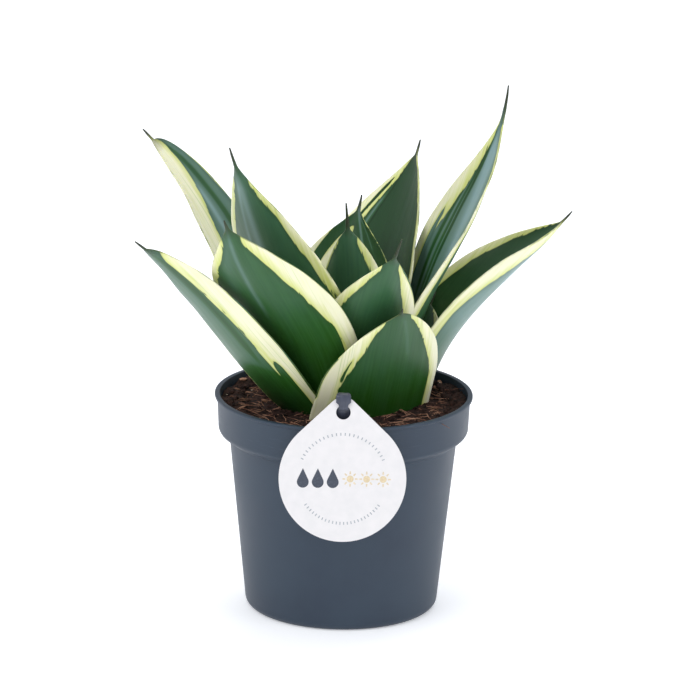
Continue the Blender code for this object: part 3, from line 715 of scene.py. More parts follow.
def pot_tree():
    """Turns a profile round the Z axis and punches a ring of drain holes in it."""
    tree, given = new_geometry_tree("Turned pot", {
        "Facets": 144, "Holes": DRAIN_COUNT, "Hole Radius": DRAIN_RADIUS,
        "Hole Circle": DRAIN_CIRCLE, "Hole Depth": 20 * MM})
    profile, facets = given["Geometry"], given["Facets"]
    count = add_node(tree, 'GeometryNodeAttributeDomainSize', (profile,),
                     output="Point Count", component='MESH')
    columns = add_node(tree, 'FunctionNodeIntegerMath', (facets, 1), operation='ADD')
    grid = add_node(tree, 'GeometryNodeMeshGrid', {"Vertices X": columns, "Vertices Y": count})
    index = add_node(tree, 'GeometryNodeInputIndex')
    column = add_node(tree, 'FunctionNodeIntegerMath', (index, count), operation='DIVIDE_FLOOR')
    row = add_node(tree, 'FunctionNodeIntegerMath', (index, count), operation='MODULO')
    position = add_node(tree, 'GeometryNodeInputPosition')
    point = add_node(tree, 'GeometryNodeSampleIndex', {
        "Geometry": profile, "Value": position, "Index": row},
        data_type='FLOAT_VECTOR', domain='POINT')
    share = add_node(tree, 'ShaderNodeMath', (column, facets), operation='DIVIDE')
    angle = add_node(tree, 'ShaderNodeMath', (share, 2 * math.pi), operation='MULTIPLY')
    turned = add_node(tree, 'ShaderNodeVectorRotate', {"Vector": point, "Angle": angle},
                      rotation_type='Z_AXIS')
    shell = add_node(tree, 'GeometryNodeSetPosition', {"Geometry": grid, "Position": turned})
    shell = add_node(tree, 'GeometryNodeMergeByDistance', {
        "Geometry": shell, "Distance": SAME_POINT})
    circle = add_node(tree, 'GeometryNodeMeshCircle', {
        "Vertices": given["Holes"], "Radius": given["Hole Circle"]})
    step = add_node(tree, 'ShaderNodeMath', (math.pi, given["Holes"]), operation='DIVIDE')
    turn = add_node(tree, 'ShaderNodeCombineXYZ', {"Z": step})
    circle = add_node(tree, 'GeometryNodeTransform', {"Geometry": circle, "Rotation": turn})
    punch = add_node(tree, 'GeometryNodeMeshCylinder', {
        "Vertices": 32, "Radius": given["Hole Radius"], "Depth": given["Hole Depth"]})
    # Each punch is turned a little, so that no corner of it meets an edge of the shell
    punches = add_node(tree, 'GeometryNodeInstanceOnPoints', {
        "Points": circle, "Instance": punch, "Rotation": (0.0, 0.0, math.radians(4))})
    punches = add_node(tree, 'GeometryNodeRealizeInstances', (punches,))
    pierced = add_node(tree, 'GeometryNodeMeshBoolean', {"Mesh 1": shell, "Mesh 2": punches},
                       operation='DIFFERENCE', solver='EXACT')
    end_tree(tree, pierced, given["Material"])
    return tree


def pot_material(settings):
    """Polypropylene, injection moulded against a finely blasted tool: matt, with a soft
    broad highlight, a fine even grain and dull scuffs where pots have been stacked."""
    material, tree, shader = new_material(
        "Slate grey moulded polypropylene", 0.5, IOR=1.49, Specular_IOR_Level=0.34)
    place = add_node(tree, 'ShaderNodeTexCoord', output="Object")
    height = add_node(tree, 'ShaderNodeSeparateXYZ', (place,), output="Z")
    cloudy, colour = two_tone(tree, shader, place, 26,
                              (settings.dark_tone, settings.light_tone), detail=3.0)
    # Scuffs: short marks about 0.6 mm by 9 mm round the collar, where it rubs its neighbours
    drawn = add_node(tree, 'ShaderNodeMapping', {
        "Vector": place, "Scale": (1 / (9 * MM), 1 / (9 * MM), 1 / (0.6 * MM))})
    marks = add_node(tree, 'ShaderNodeTexNoise', {"Vector": drawn, "Scale": 1.0, "Detail": 2.0})
    marks = add_node(tree, 'ShaderNodeMapRange', (marks, 0.62, 0.75))
    collar = add_node(tree, 'ShaderNodeMapRange', (
        height, COLLAR_FOOT - 2 * MM, COLLAR_FOOT + 2 * MM))
    marks = add_node(tree, 'ShaderNodeMath', (marks, collar), operation='MULTIPLY')
    worn = add_node(tree, 'ShaderNodeMath', (marks, 0.12), operation='MULTIPLY')
    colour = layered(tree, colour, [(worn, opaque(settings.scuff_tone))])
    tree.links.new(colour, shader.inputs["Base Color"])
    gloss = add_node(tree, 'ShaderNodeMapRange', (cloudy, 0.3, 0.7, 0.42, 0.52))
    gloss = add_node(tree, 'ShaderNodeMath', (marks, 0.15, gloss), operation='MULTIPLY_ADD')
    tree.links.new(gloss, shader.inputs["Roughness"])
    fine_relief(tree, shader, place, 0.35, 0.03, 0.35)
    return material


# ---------------------------------------------------------------- compost
def crust_mesh(settings):
    """The compost's uneven upper layer, closed underneath: a round grid whose height
    wanders in heaps and hollows."""
    rings, spokes = CRUST_RINGS, CRUST_SPOKES
    outer = MOUTH_RADIUS - CRUST_GAP
    floor = SOIL_LEVEL - CRUST_DEPTH
    radii = outer * np.linspace(0, 1, rings + 1)[1:]
    points, quads = [(0.0, 0.0, SOIL_LEVEL)], []
    for radius in radii:
        for spoke in range(spokes):
            angle = 2 * math.pi * spoke / spokes
            x, y = radius * math.cos(angle), radius * math.sin(angle)
            heap = noise.fractal(Vector((x, y, 0.3)) / (13 * MM), 0.9, 2.0, 4)
            lump = noise.fractal(Vector((x, y, 0.7)) / (3.2 * MM), 0.7, 2.0, 3)
            bank = min(max((radius / outer - 0.72) / 0.25, 0.0), 1.0)
            bank = settings.banking * bank * bank * (3 - 2 * bank)
            points.append((x, y, SOIL_LEVEL + settings.unevenness * heap
                           + 0.35 * settings.unevenness * lump + bank - CRUST_SINK))
    points[0] = (0.0, 0.0, float(np.mean([p[2] for p in points[1:spokes + 1]])))
    for ring in range(rings - 1):
        low, high = 1 + ring * spokes, 1 + (ring + 1) * spokes
        for spoke in range(spokes):
            after = (spoke + 1) % spokes
            quads.append((low + spoke, high + spoke, high + after, low + after))
    last = 1 + (rings - 1) * spokes
    under = len(points)
    points += [(points[last + s][0], points[last + s][1], floor) for s in range(spokes)]
    for spoke in range(spokes):
        after = (spoke + 1) % spokes
        quads.append((0, 1 + spoke, 1 + after))
        quads.append((last + spoke, under + spoke, under + after, last + after))
    quads.append(tuple(reversed(range(under, under + spokes))))
    mesh = mesh_of("compost_crust", points, quads)
    closed(mesh)
    smooth(mesh, 60)
    return mesh


def scatter_points(tree, given, reach):
    """Random points on the upward faces of the input, within reach of the Z axis."""
    normal = add_node(tree, 'GeometryNodeInputNormal')
    upward = add_node(tree, 'ShaderNodeSeparateXYZ', (normal,), output="Z")
    upward = add_node(tree, 'FunctionNodeCompare', (upward, 0.3), operation='GREATER_THAN')
    place = add_node(tree, 'GeometryNodeInputPosition')
    flat = add_node(tree, 'ShaderNodeVectorMath', (place, (1.0, 1.0, 0.0)),
                    operation='MULTIPLY')
    radius = add_node(tree, 'ShaderNodeVectorMath', (flat,), output="Value",
                      operation='LENGTH')
    near = add_node(tree, 'FunctionNodeCompare', (radius, reach), operation='LESS_THAN')
    both = add_node(tree, 'FunctionNodeBooleanMath', (upward, near), operation='AND')
    return add_node(tree, 'GeometryNodeDistributePointsOnFaces', {
        "Mesh": given["Geometry"], "Selection": both, "Density": given["Density"],
        "Seed": given["Seed"]}, output="Points")


def mostly_small(tree, seed, power, least, most):
    """A random size for each instance, between two limits, the larger the rarer."""
    chance = add_node(tree, 'FunctionNodeRandomValue', {2: 0.0, 3: 1.0, "Seed": seed},
                      output=1, data_type='FLOAT')
    rare = add_node(tree, 'ShaderNodeMath', (chance, power), operation='POWER')
    return add_node(tree, 'ShaderNodeMapRange', (rare, 0.0, 1.0, least, most))


def crumb_tree():
    """Scatters lumps with a few facets each, mostly small, every one turned and
    squeezed its own way."""
    tree, given = new_geometry_tree("Compost crumbs", {
        "Density": 2e5, "Smallest": 0.4 * MM, "Largest": 2 * MM, "Flatness": 0.8, "Seed": 1})
    points = scatter_points(tree, given, MOUTH_RADIUS - CRUMB_GAP)
    lump = add_node(tree, 'GeometryNodeMeshIcoSphere', {"Radius": 1.0, "Subdivisions": 2},
                    output="Mesh")
    place = add_node(tree, 'GeometryNodeInputPosition')
    rough = add_node(tree, 'ShaderNodeTexNoise', {"Vector": place, "Scale": 1.4}, output="Color")
    rough = add_node(tree, 'ShaderNodeVectorMath', (rough, (0.5, 0.5, 0.5)),
                     operation='SUBTRACT')
    rough = add_node(tree, 'ShaderNodeVectorMath', {0: rough, 3: 1.5}, operation='SCALE')
    lump = add_node(tree, 'GeometryNodeSetPosition', {"Geometry": lump, "Offset": rough})
    size = mostly_small(tree, given["Seed"], 4.0, given["Smallest"], given["Largest"])
    wide = add_node(tree, 'FunctionNodeRandomValue', {
        0: (0.7, 0.5, 0.6), 1: (1.3, 1.1, 0.9), "Seed": 17}, data_type='FLOAT_VECTOR')
    flat = add_node(tree, 'ShaderNodeCombineXYZ', (1.0, 1.0, given["Flatness"]))
    wide = add_node(tree, 'ShaderNodeVectorMath', (wide, flat), operation='MULTIPLY')
    scale = add_node(tree, 'ShaderNodeVectorMath', {0: wide, 3: size}, operation='SCALE')
    turn = add_node(tree, 'FunctionNodeRandomValue', {
        0: (-0.6, -0.6, 0.0), 1: (0.6, 0.6, 2 * math.pi), "Seed": 5},
        data_type='FLOAT_VECTOR')
    crumbs = add_node(tree, 'GeometryNodeInstanceOnPoints', {
        "Points": points, "Instance": lump, "Rotation": turn, "Scale": scale})
    end_tree(tree, crumbs, given["Material"])
    return tree


def fibre_tree():
    """Strands of coir lying loosely over the compost, each bent its own way."""
    tree, given = new_geometry_tree("Coir fibres", {
        "Density": 3e4, "Shortest": 4 * MM, "Longest": 24 * MM, "Radius": 0.2 * MM,
        "Bend": 11 * MM, "Seed": 1})
    points = scatter_points(tree, given, MOUTH_RADIUS - FIBRE_GAP)
    line = add_node(tree, 'GeometryNodeCurvePrimitiveLine', {
        "Start": (-0.5, 0.0, 0.0), "End": (0.5, 0.0, 0.0)})
    line = add_node(tree, 'GeometryNodeResampleCurve', {"Curve": line, "Count": 9})
    length = mostly_small(tree, given["Seed"], 2.0, given["Shortest"], given["Longest"])
    scale = add_node(tree, 'ShaderNodeCombineXYZ', (length, 1.0, 1.0))
    turn = add_node(tree, 'FunctionNodeRandomValue', {
        0: (0.0, -0.16, 0.0), 1: (0.0, 0.16, 2 * math.pi), "Seed": 9},
        data_type='FLOAT_VECTOR')
    strands = add_node(tree, 'GeometryNodeInstanceOnPoints', {
        "Points": points, "Instance": line, "Rotation": turn, "Scale": scale})
    strands = add_node(tree, 'GeometryNodeRealizeInstances', (strands,))
    # Bends wander over about 11 mm, less up and down than sideways
    place = add_node(tree, 'GeometryNodeInputPosition')
    wander = add_node(tree, 'ShaderNodeTexNoise', {
        "Vector": place, "Scale": 1 / (11 * MM), "Detail": 1.0}, output="Color")
    for operation, by in (('SUBTRACT', (0.5, 0.5, 0.42)), ('MULTIPLY', (1.0, 1.0, 0.5))):
        wander = add_node(tree, 'ShaderNodeVectorMath', (wander, by), operation=operation)
    wander = add_node(tree, 'ShaderNodeVectorMath', {0: wander, 3: given["Bend"]},
                      operation='SCALE')
    strands = add_node(tree, 'GeometryNodeSetPosition', {
        "Geometry": strands, "Offset": wander})
    # Thinner towards both ends
    along = add_node(tree, 'GeometryNodeSplineParameter', output="Factor")
    thin = add_node(tree, 'ShaderNodeMath', (along, math.pi), operation='MULTIPLY')
    thin = add_node(tree, 'ShaderNodeMath', (thin,), operation='SINE')
    thin = add_node(tree, 'ShaderNodeMapRange', (thin, 0.0, 1.0, 0.35, 1.0))
    section = add_node(tree, 'GeometryNodeCurvePrimitiveCircle', {
        "Resolution": 4, "Radius": given["Radius"]})
    tube = add_node(tree, 'GeometryNodeCurveToMesh', {
        "Curve": strands, "Profile Curve": section, "Scale": thin, "Fill Caps": True})
    end_tree(tree, tube, given["Material"])
    return tree


def compost_material(name, dark, light, lump_mm):
    """Peat compost and coir: dry, open and dull, darker where it is damp."""
    material, tree, shader = new_material(name, 0.95, Specular_IOR_Level=0.2)
    place = add_node(tree, 'ShaderNodeTexCoord', output="Object")
    two_tone(tree, shader, place, lump_mm, (dark, light), 0.36, 0.66, roughness=0.65)
    fine_relief(tree, shader, place, 0.6, 0.3, 0.7, detail=3.0)
    return material


# ---------------------------------------------------------------- tag
def card_matrix():
    """From the card's own plane, with the hole's middle at its origin, to its place on
    the pot's lip. With it, the hole's middle and the ways up and out."""
    up = Vector((0, math.sin(CARD_LEAN), math.cos(CARD_LEAN)))
    out = Vector((0, -math.cos(CARD_LEAN), math.sin(CARD_LEAN)))
    lip = Vector((0, -(RIM_RADIUS + CARD_FIT), POT_HEIGHT))
    hole = lip + out * (CARD_THICKNESS / 2) + up * (CARD_RISE / math.cos(CARD_LEAN))
    turn = Matrix((Vector((1, 0, 0)), up, out)).transposed().to_4x4()
    return Matrix.Translation(hole) @ turn, hole, up, out


def flat_shape(name, outlines, low, high, matrix):
    """Plate between two heights over the card's plane, whose face is one outline, one
    with holes in it, or several apart."""
    curve = bpy.data.curves.new(name, 'CURVE')
    curve.dimensions = '2D'
    curve.fill_mode = 'BOTH'
    curve.extrude = (high - low) / 2
    for outline in outlines:
        spline = curve.splines.new('POLY')
        spline.points.add(len(outline) - 1)
        for point, (x, y) in zip(spline.points, outline):
            point.co = (x, y, 0, 1)
        spline.use_cyclic_u = True
    mesh = plain_mesh(linked(name, curve))
    closed(mesh, lift=(low + high) / 2)
    mesh.transform(matrix)
    return mesh


def disc(x, y, radius, count=24):
    return arc(x, y, radius, 0, 360, count + 1)[:-1]


def drop_outline(x, y, size):
    """Water drop of that height, its round part at the foot."""
    radius = 0.3 * size
    slope = math.degrees(math.asin(radius / (0.7 * size)))
    return [(x, y + 0.7 * size)] + arc(x, y, radius, 180 - slope, 360 + slope, 20)


def ray_outline(x, y, inner, outer, half, angle):
    """Short bar pointing away from (x, y), for a sun's ray."""
    c, s = math.cos(angle), math.sin(angle)
    corners = ((inner, -half), (outer, -half * 0.6), (outer, half * 0.6), (inner, half))
    return [(x + a * c - b * s, y + a * s + b * c) for a, b in corners]


def tick_tree():
    """Small printed ticks spaced evenly along an arc, each standing across it."""
    tree, given = new_geometry_tree("Printed ticks", {
        "Count": 20, "Width": 0.5 * MM, "Height": 1.3 * MM, "Ink": 0.03 * MM})
    path = add_node(tree, 'GeometryNodeMeshToCurve', {"Mesh": given["Geometry"]})
    stops = add_node(tree, 'GeometryNodeCurveToPoints', {
        "Curve": path, "Count": given["Count"]}).node.outputs
    x, y, _ = add_node(tree, 'ShaderNodeSeparateXYZ', (stops["Tangent"],)).node.outputs
    angle = add_node(tree, 'ShaderNodeMath', (y, x), operation='ARCTAN2')
    turn = add_node(tree, 'ShaderNodeCombineXYZ', {"Z": angle})
    size = add_node(tree, 'ShaderNodeCombineXYZ', (
        given["Width"], given["Height"], given["Ink"]))
    tick = add_node(tree, 'GeometryNodeMeshCube', {"Size": size})
    ticks = add_node(tree, 'GeometryNodeInstanceOnPoints', {
        "Points": stops["Points"], "Instance": tick, "Rotation": turn})
    end_tree(tree, ticks, given["Material"])
    return tree


def stake_path():
    """Centre line of the stake, as (point, width): up from its point in the compost,
    behind the card, over the card's tip, down its face and back through the hole."""
    _, hole, up, out = card_matrix()
    behind = CARD_THICKNESS / 2 + CARD_FIT + STAKE_SLACK + STAKE_THICKNESS / 2
    ahead = CARD_THICKNESS / 2 + CARD_FIT + STAKE_THICKNESS / 2
    bend = (behind + ahead) / 2
    crest = CARD_TIP_RADIUS - HOOK_DROP
    half_hole = math.sqrt(CARD_HOLE_RADIUS ** 2 - (TONGUE_WIDTH / 2) ** 2)
    tongue = half_hole - CARD_FIT - STAKE_THICKNESS / 2
    turn = STAKE_THICKNESS * 0.75
    shoulder = hole + up * CARD_TIP_RADIUS * 0.3 - out * behind
    neck = Vector((0, -(NECK_RADIUS - WALL - STAKE_ROOM), NECK))
    down = (neck - shoulder).normalized()
    path = [(neck + down * STAKE_DEPTH, STAKE_WIDTH * 0.3),
            (neck + down * (STAKE_DEPTH - STAKE_POINT), STAKE_WIDTH),
            (neck, STAKE_WIDTH)]
    path += [(neck.lerp(shoulder, share), STAKE_WIDTH) for share in (0.5, 0.9, 1.0)]
    for angle in np.radians(np.linspace(0, 180, 17)):
        path.append((hole + up * (crest + bend * math.sin(angle))
                     - out * ((behind - ahead) / 2 + bend * math.cos(angle)),
                     STAKE_WIDTH * (1 - 0.3 * math.sin(angle) ** 3)))
    waist = crest - (crest - tongue) * 0.55
    low = tongue + turn
    for share in np.linspace(0.25, 1.0, 4):
        width = STAKE_WIDTH + (TONGUE_WIDTH - STAKE_WIDTH) * (1 - math.cos(math.pi * share)) / 2
        height = crest - (crest - low) * share
        path.append((hole + up * height + out * ahead, width if height < waist else STAKE_WIDTH))
    for angle in np.radians((18, 36, 54, 72, 90)):
        path.append((hole + up * (low - turn * math.sin(angle))
                     + out * (ahead - turn * (1 - math.cos(angle))), TONGUE_WIDTH))
    path.append((hole + up * tongue - out * (CARD_THICKNESS / 2 + CARD_FIT), TONGUE_WIDTH))
    return path


def stake_mesh():
    """Flat bar along the stake's path with its long corners rounded."""
    path = stake_path()
    points = np.array([point[:] for point, _ in path])
    half_widths = np.array([width for _, width in path]) / 2
    half = STAKE_THICKNESS / 2
    steps = np.diff(points, axis=0)
    steps /= np.linalg.norm(steps, axis=1)[:, None]
    after = np.vstack([steps, steps[-1:]])
    along = after + np.vstack([steps[:1], steps])
    along /= np.linalg.norm(along, axis=1)[:, None]
    square = np.stack([np.zeros(len(points)), -along[:, 2], along[:, 1]], axis=-1)
    square *= half / np.sum(along * after, axis=1)[:, None]
    outline = []
    for side_x, side_y in ((-1, -1), (1, -1), (1, 1), (-1, 1)):
        for share in (0.0, 0.5, 1.0):
            swing = math.pi / 2 * (share if side_x * side_y > 0 else 1 - share)
            outline.append((side_x, side_y, 1 - math.cos(swing), 1 - math.sin(swing)))
    ring = []
    for side_x, side_y, cut_x, cut_y in outline:
        x = side_x * (half_widths - STAKE_CORNER * cut_x)
        y = side_y * (1 - STAKE_CORNER * cut_y / half)
        ring.append(points + np.outer(x, (1, 0, 0)) + square * y)
    sections = np.stack(ring, axis=1)
    rows, count, _ = sections.shape
    mesh = mesh_of("tag_stake", sections.reshape(-1, 3), ring_faces(rows, count))
    closed(mesh, cap_sides=count)
    smooth(mesh, 35)
    return mesh


def card_material(settings):
    """White cartonboard, coated on its face: very smooth, with a low even sheen, the
    faintest cloudiness, and fibres about 0.3 mm across under the coating."""
    material, tree, shader = new_material("Coated white cartonboard", 0.38, IOR=1.5)
    place = add_node(tree, 'ShaderNodeTexCoord', output="Object")
    two_tone(tree, shader, place, 4, (settings.card_shade, settings.card_white))
    fine_relief(tree, shader, place, 0.3, 0.01, 0.2)
    return material


def ink_material(name, colour, paler):
    """Offset printing ink: thin, slightly uneven, a little duller than the coating."""
    material, tree, shader = new_material(name, 0.5)
    place = add_node(tree, 'ShaderNodeTexCoord', output="Object")
    two_tone(tree, shader, place, 0.7, (colour, linear(paler)), 0.45, 0.8, detail=2.0)
    return material


def stake_material(settings):
    """Polystyrene, injection moulded against a polished tool: satin, with faint flow
    marks 1.2 mm across, drawn out ten times that along its length."""
    material, tree, shader = new_material("Dark slate moulded polystyrene", 0.35, IOR=1.55)
    place = add_node(tree, 'ShaderNodeTexCoord', output="Object")
    drawn = add_node(tree, 'ShaderNodeMapping', {"Vector": place, "Scale": (1.0, 1.0, 0.1)})
    flow, _ = two_tone(tree, shader, drawn, 1.2, (settings.stake_dark, settings.stake_light),
                       detail=2.0)
    gloss = add_node(tree, 'ShaderNodeMapRange', (flow, 0.3, 0.7, 0.3, 0.42))
    tree.links.new(gloss, shader.inputs["Roughness"])
    return material


# ---------------------------------------------------------------- settings
def colour_property(name, description, hex_colour):
    return FloatVectorProperty(name=name, description=description, subtype='COLOR', size=3,
                               min=0, max=1, default=linear(hex_colour))


class LeafSettings(bpy.types.PropertyGroup):
    """How finely the leaves are made, and their colours."""
    rows: IntProperty(
        name="Sections", description="Sections along each blade", default=110, min=20)
    spans: IntProperty(
        name="Spans", description="Points across each blade between its margins", default=56,
        min=12)
    waviness: FloatProperty(
        name="Waviness", description="Height of the slow waves along the margins",
        default=0.28 * MM, min=0, unit='LENGTH', precision=5)
    finger_depth: FloatProperty(
        name="Finger depth", description="How far, in millimetres, green and cream reach "
        "into each other", default=0.55, min=0)
    base_green: colour_property("Base green", "Green low on the blade", "#1e4f08")
    upper_green: colour_property("Upper green", "Green high on the blade", "#2e5935")
    vein_green: colour_property("Grain green", "Fine grain along the blade", "#41703f")
    # Deep green also paints shade, through the dark stripes and negative bloom
    deep_green: colour_property("Deep green", "Darkest lines and beside the cream", "#0c330f")
    # This grey is the leaf's own grey bloom and also painted sheen, laid through the pale
    # stripes and bloom
    grey_bloom_and_sheen: colour_property("Grey green", "Pale stripes on the green", "#86a3a3")
    yellow_cream: colour_property("Yellow cream", "Cream beside the green", "#d2d880")
    pale_cream: colour_property("Pale cream", "Cream near the edge", "#f0eecd")
    thread_green: colour_property("Thread green", "Thin lines in the cream", "#b9cb86")
    # The edge line is partly the leaf's own green-brown margin and partly painted shade on the
    # blade's thickness
    edge_line_and_shade: colour_property("Edge", "Hard line at the leaf's edge", "#6c7a4a")
    awl_colour: colour_property("Awl", "Dry tip", "#2b3420")


class PotSettings(bpy.types.PropertyGroup):
    """The pot's roundness and colours."""
    facets: IntProperty(
        name="Facets", description="Facets round the pot", default=144, min=24)
    dark_tone: colour_property("Dark tone", "Darker plastic", "#2d3948")
    light_tone: colour_property("Light tone", "Lighter plastic", "#33404e")
    scuff_tone: colour_property("Scuff tone", "Stacking marks", "#7b8591")


class CompostSettings(bpy.types.PropertyGroup):
    """How rough the compost is, and what lies on it."""
    unevenness: FloatProperty(
        name="Unevenness", description="Height of the heaps", default=2.0 * MM, min=0,
        unit='LENGTH', precision=5)
    banking: FloatProperty(
        name="Banking", description="How much higher the compost lies against the pot",
        default=2.2 * MM, min=0, unit='LENGTH', precision=5)
    crumb_density: FloatProperty(
        name="Crumbs", description="Crumbs to the square metre", default=1.9e5, min=0)
    fibre_density: FloatProperty(
        name="Coir fibres", description="Fibres to the square metre", default=6e4, min=0)
    pale_density: FloatProperty(
        name="Pale bits", description="Pale bits to the square metre", default=4e3, min=0)
    pale_dark: colour_property("Dark pale bit", "Damp side of the pale bits", "#8c7b68")
    pale_light: colour_property("Light pale bit", "Dry side of the pale bits", "#cdc3b2")
    seed: IntProperty(name="Seed", description="Seed of the scatter", default=3)
    dark_earth: colour_property("Dark earth", "Damp compost", "#120c0a")
    light_earth: colour_property("Light earth", "Dry compost", "#46302a")
    fibre_dark: colour_property("Dark fibre", "Darker coir", "#6b4638")
    fibre_light: colour_property("Light fibre", "Lighter coir", "#b98f76")


class TagSettings(bpy.types.PropertyGroup):
    """The card's and stake's colours and print."""
    card_white: colour_property("Card", "The card's face", "#e5e2e2")
    card_shade: colour_property("Card shade", "Its faint clouding", "#dfdddd")
    dark_ink: colour_property("Dark ink", "Water symbols", "#3d4350")
    gold_ink: colour_property("Gold ink", "Light symbols", "#d5c3a0")
    grey_ink: colour_property("Grey ink", "Rings of ticks", "#a3a7ad")
    stake_dark: colour_property("Stake dark", "Darker plastic", "#343947")
    stake_light: colour_property("Stake light", "Lighter plastic", "#414757")
    tick_count: IntProperty(name="Ticks", description="Ticks in each arc", default=24, min=2)


class StageSettings(bpy.types.PropertyGroup):
    """Camera and studio light."""
    distance: FloatProperty(name="Distance", description="Camera to the plant",
                            default=2.4, min=0.5, unit='LENGTH')
    elevation: FloatProperty(name="Elevation", description="Camera above the horizon",
                             default=math.radians(15.85), subtype='ANGLE')
    tilt: FloatProperty(name="Tilt", description="Camera's turn about its own view",
                        default=math.radians(0.84), subtype='ANGLE')
    lens: FloatProperty(name="Lens", description="Focal length in millimetres",
                        default=266.2, min=20)
    sky: colour_property("Room", "Light from all round", "#f6f9ff")
    sky_strength: FloatProperty(name="Room strength", description="How strong that light is",
                                default=0.68, min=0)
    floor: colour_property("Floor", "The plain floor", "#fbfcfe")
    floor_glow: FloatProperty(name="Floor glow", description="Light from under the floor",
                              default=0.32, min=0)


# ---------------------------------------------------------------- operators
class PLANT_OT_leaves(bpy.types.Operator):
    """Makes the fourteen leaves"""
    bl_idname = "snake_plant.leaves"
    bl_label = "Leaves"

    def execute(self, context):
        settings = context.scene.snake_plant_leaves
        material = leaf_material(settings)
        for number, leaf in enumerate(LEAVES):
            mesh = leaf_mesh(leaf, number, settings)
            add_piece(leaf["name"] + "_blade", mesh, [material], leaf["name"])
        return {'FINISHED'}


class PLANT_OT_pot(bpy.types.Operator):
    """Makes the turned pot with its drain holes"""
    bl_idname = "snake_plant.pot"
    bl_label = "Pot"

    def execute(self, context):
        settings = context.scene.snake_plant_pot
        profile = line_mesh("pot_profile", [(r, 0, z) for r, z in pot_profile()])
        mesh = grown("nursery_pot", profile, pot_tree(), {
            "Facets": settings.facets, "Hole Depth": 4 * (RECESS + WALL),
            "Material": pot_material(settings)})
        smooth(mesh, 35)
        add_piece("nursery_pot", mesh, replaces="plastic_pot")
        return {'FINISHED'}


class PLANT_OT_compost(bpy.types.Operator):
    """Makes the compost's rough top with its crumbs, chips, coir fibres and pale bits"""
    bl_idname = "snake_plant.compost"
    bl_label = "Compost"

    def execute(self, context):
        settings = context.scene.snake_plant_compost
        earth = compost_material("Peat compost", settings.dark_earth, settings.light_earth, 2.2)
        coir = compost_material("Coir fibre", settings.fibre_dark, settings.fibre_light, 5.0)
        pale = compost_material("Perlite and pale bark", settings.pale_dark,
                                settings.pale_light, 1.5)
        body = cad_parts["potting_soil"]
        body.data.materials.clear()
        body.data.materials.append(earth)
        crust = crust_mesh(settings)
        add_piece("compost_crust", crust, [earth])
        crumbs = crumb_tree()
        for name, material, density, smallest, largest, flatness, seed in (
                ("compost_crumbs", earth, settings.crumb_density, 0.35, 2.3, 0.8, 0),
                ("bark_chips", coir, settings.crumb_density * 0.06, 0.9, 2.6, 0.35, 1),
                ("pale_bits", pale, settings.pale_density, 0.5, 1.1, 0.8, 2)):
            mesh = grown(name, crust.copy(), crumbs, {
                "Density": density, "Smallest": smallest * MM, "Largest": largest * MM,
                "Flatness": flatness, "Seed": settings.seed + seed, "Material": material})
            add_piece(name, mesh)
        fibres = fibre_tree()
        for name, density, longest, radius, bend, seed in (
                ("coir_fibres", settings.fibre_density, 22, 0.2, 11, 0),
                ("coir_strands", settings.fibre_density * 0.07, 36, 0.26, 20, 3)):
            mesh = grown(name, crust.copy(), fibres, {
                "Density": density, "Longest": longest * MM, "Radius": radius * MM,
                "Bend": bend * MM, "Seed": settings.seed + seed, "Material": coir})
            smooth(mesh, 60)
            add_piece(name, mesh)
        return {'FINISHED'}


class PLANT_OT_tag(bpy.types.Operator):
    """Makes the drop-shaped card with its printed care symbols, and the stake"""
    bl_idname = "snake_plant.tag"
    bl_label = "Tag"

    def execute(self, context):
        settings = context.scene.snake_plant_tag
        matrix = card_matrix()[0]
        slope = math.degrees(math.asin((CARD_RADIUS - CARD_TIP_RADIUS) / CARD_SPAN))
        outline = arc(0, 0, CARD_TIP_RADIUS, slope, 180 - slope, 25)
        outline += arc(0, -CARD_SPAN, CARD_RADIUS, 180 - slope, 360 + slope, 121)
        half = CARD_THICKNESS / 2
        card = flat_shape("tag_card", [outline, disc(0, 0, CARD_HOLE_RADIUS, 48)], -half, half,
                          matrix)
        add_piece("drop_card", card, [card_material(settings)], "tag_card")

        drops = [drop_outline(x, PRINT_LINE - DROP_FOOT, DROP_SIZE) for x in DROP_PLACES]
        suns = []
        for x in SUN_PLACES:
            suns.append(disc(x, PRINT_LINE, SUN_RADIUS))
            suns += [ray_outline(x, PRINT_LINE, *SUN_RAY, math.radians(a))
                     for a in range(0, 360, 45)]
        for name, shapes, ink in (
                ("print_drops", drops,
                 ink_material("Dark grey offset ink", settings.dark_ink, "#4c5361")),
                ("print_suns", suns,
                 ink_material("Pale gold offset ink", settings.gold_ink, "#ead9b6"))):
            add_piece(name, flat_shape(name, shapes, PRINT_FOOT, PRINT_TOP, matrix), [ink])
        ticks = tick_tree()
        grey = ink_material("Light grey offset ink", settings.grey_ink, "#b9bdc2")
        for name, start, end in TICK_ARCS:
            path = line_mesh(name, [(x, y, (PRINT_FOOT + PRINT_TOP) / 2) for x, y in arc(
                0, PRINT_LINE, TICK_RING, start, end, 60)])
            mesh = grown(name, path, ticks, {
                "Count": settings.tick_count, "Ink": PRINT_TOP - PRINT_FOOT,
                "Material": grey})
            mesh.transform(matrix)
            add_piece(name, mesh)
        add_piece("hooked_stake", stake_mesh(), [stake_material(settings)],
                  "tag_stake")
        return {'FINISHED'}


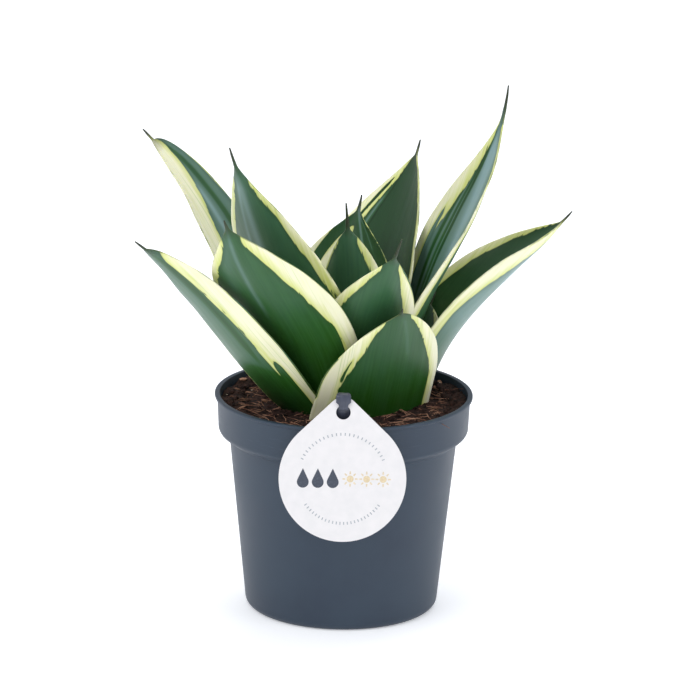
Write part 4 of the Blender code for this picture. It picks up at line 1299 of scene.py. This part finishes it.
class PLANT_OT_stage(bpy.types.Operator):
    """Makes the floor, the studio light and the camera"""
    bl_idname = "snake_plant.stage"
    bl_label = "Stage"

    def execute(self, context):
        settings = context.scene.snake_plant_stage
        scene = context.scene
        scene.view_settings.view_transform = 'Standard'
        floor_mesh = mesh_of("studio_floor", FLOOR_CORNERS, [(0, 1, 2, 3)])
        material, _, shader = new_material(
            "Matt studio paper", 0.9, Specular_IOR_Level=0.1,
            Emission_Strength=settings.floor_glow)
        for socket in ("Base Color", "Emission Color"):
            shader.inputs[socket].default_value = opaque(settings.floor)
        floor_mesh.materials.append(material)
        linked("studio_floor", floor_mesh)

        world = bpy.data.worlds.new("Studio")
        world.use_nodes = True
        background = world.node_tree.nodes["Background"]
        background.inputs["Color"].default_value = opaque(settings.sky)
        background.inputs["Strength"].default_value = settings.sky_strength
        scene.world = world
        for name, place, size, power in LAMPS:
            light = bpy.data.lights.new(name, 'AREA')
            light.shape = 'DISK'
            light.size = size
            light.energy = power
            lamp = linked(name, light)
            lamp.location = place
            aim = Vector(LAMP_AIM) - Vector(place)
            lamp.rotation_euler = aim.to_track_quat('-Z', 'Y').to_euler()

        lens = bpy.data.cameras.new("camera")
        lens.lens = settings.lens
        lens.sensor_width = 36
        lens.clip_end = 20
        camera = linked("camera", lens)
        back = Vector((0, -math.cos(settings.elevation), math.sin(settings.elevation)))
        camera.location = Vector(CAMERA_AIM) + back * settings.distance
        turn = Matrix.Rotation(math.pi / 2 - settings.elevation, 4, 'X')
        camera.rotation_euler = (turn @ Matrix.Rotation(settings.tilt, 4, 'Z')).to_euler()
        scene.camera = camera
        return {'FINISHED'}


class PLANT_PT_sidebar(bpy.types.Panel):
    """Lists what makes the plant, with its sizes and colours"""
    bl_idname = "PLANT_PT_sidebar"
    bl_label = "Snake Plant"
    bl_space_type = 'VIEW_3D'
    bl_region_type = 'UI'
    bl_category = "Snake Plant"

    def draw(self, context):
        for operator, group in STEPS:
            box = self.layout.box()
            box.operator(operator.bl_idname)
            settings = getattr(context.scene, group)
            for name in settings.bl_rna.properties.keys():
                if name not in {"rna_type", "name"}:
                    box.prop(settings, name)


STEPS = ((PLANT_OT_leaves, "snake_plant_leaves"), (PLANT_OT_pot, "snake_plant_pot"),
         (PLANT_OT_compost, "snake_plant_compost"), (PLANT_OT_tag, "snake_plant_tag"),
         (PLANT_OT_stage, "snake_plant_stage"))
GROUPS = {"snake_plant_leaves": LeafSettings, "snake_plant_pot": PotSettings,
          "snake_plant_compost": CompostSettings, "snake_plant_tag": TagSettings,
          "snake_plant_stage": StageSettings}
CLASSES = (*GROUPS.values(), *(operator for operator, _ in STEPS), PLANT_PT_sidebar)


def register():
    for cls in CLASSES:
        bpy.utils.register_class(cls)
    for name, group in GROUPS.items():
        setattr(bpy.types.Scene, name, PointerProperty(type=group))


def unregister():
    for name in GROUPS:
        delattr(bpy.types.Scene, name)
    for cls in reversed(CLASSES):
        bpy.utils.unregister_class(cls)


def main():
    register()
    bpy.ops.snake_plant.leaves()
    bpy.ops.snake_plant.pot()
    bpy.ops.snake_plant.compost()
    bpy.ops.snake_plant.tag()
    bpy.ops.snake_plant.stage()


if __name__ == "__main__":
    main()
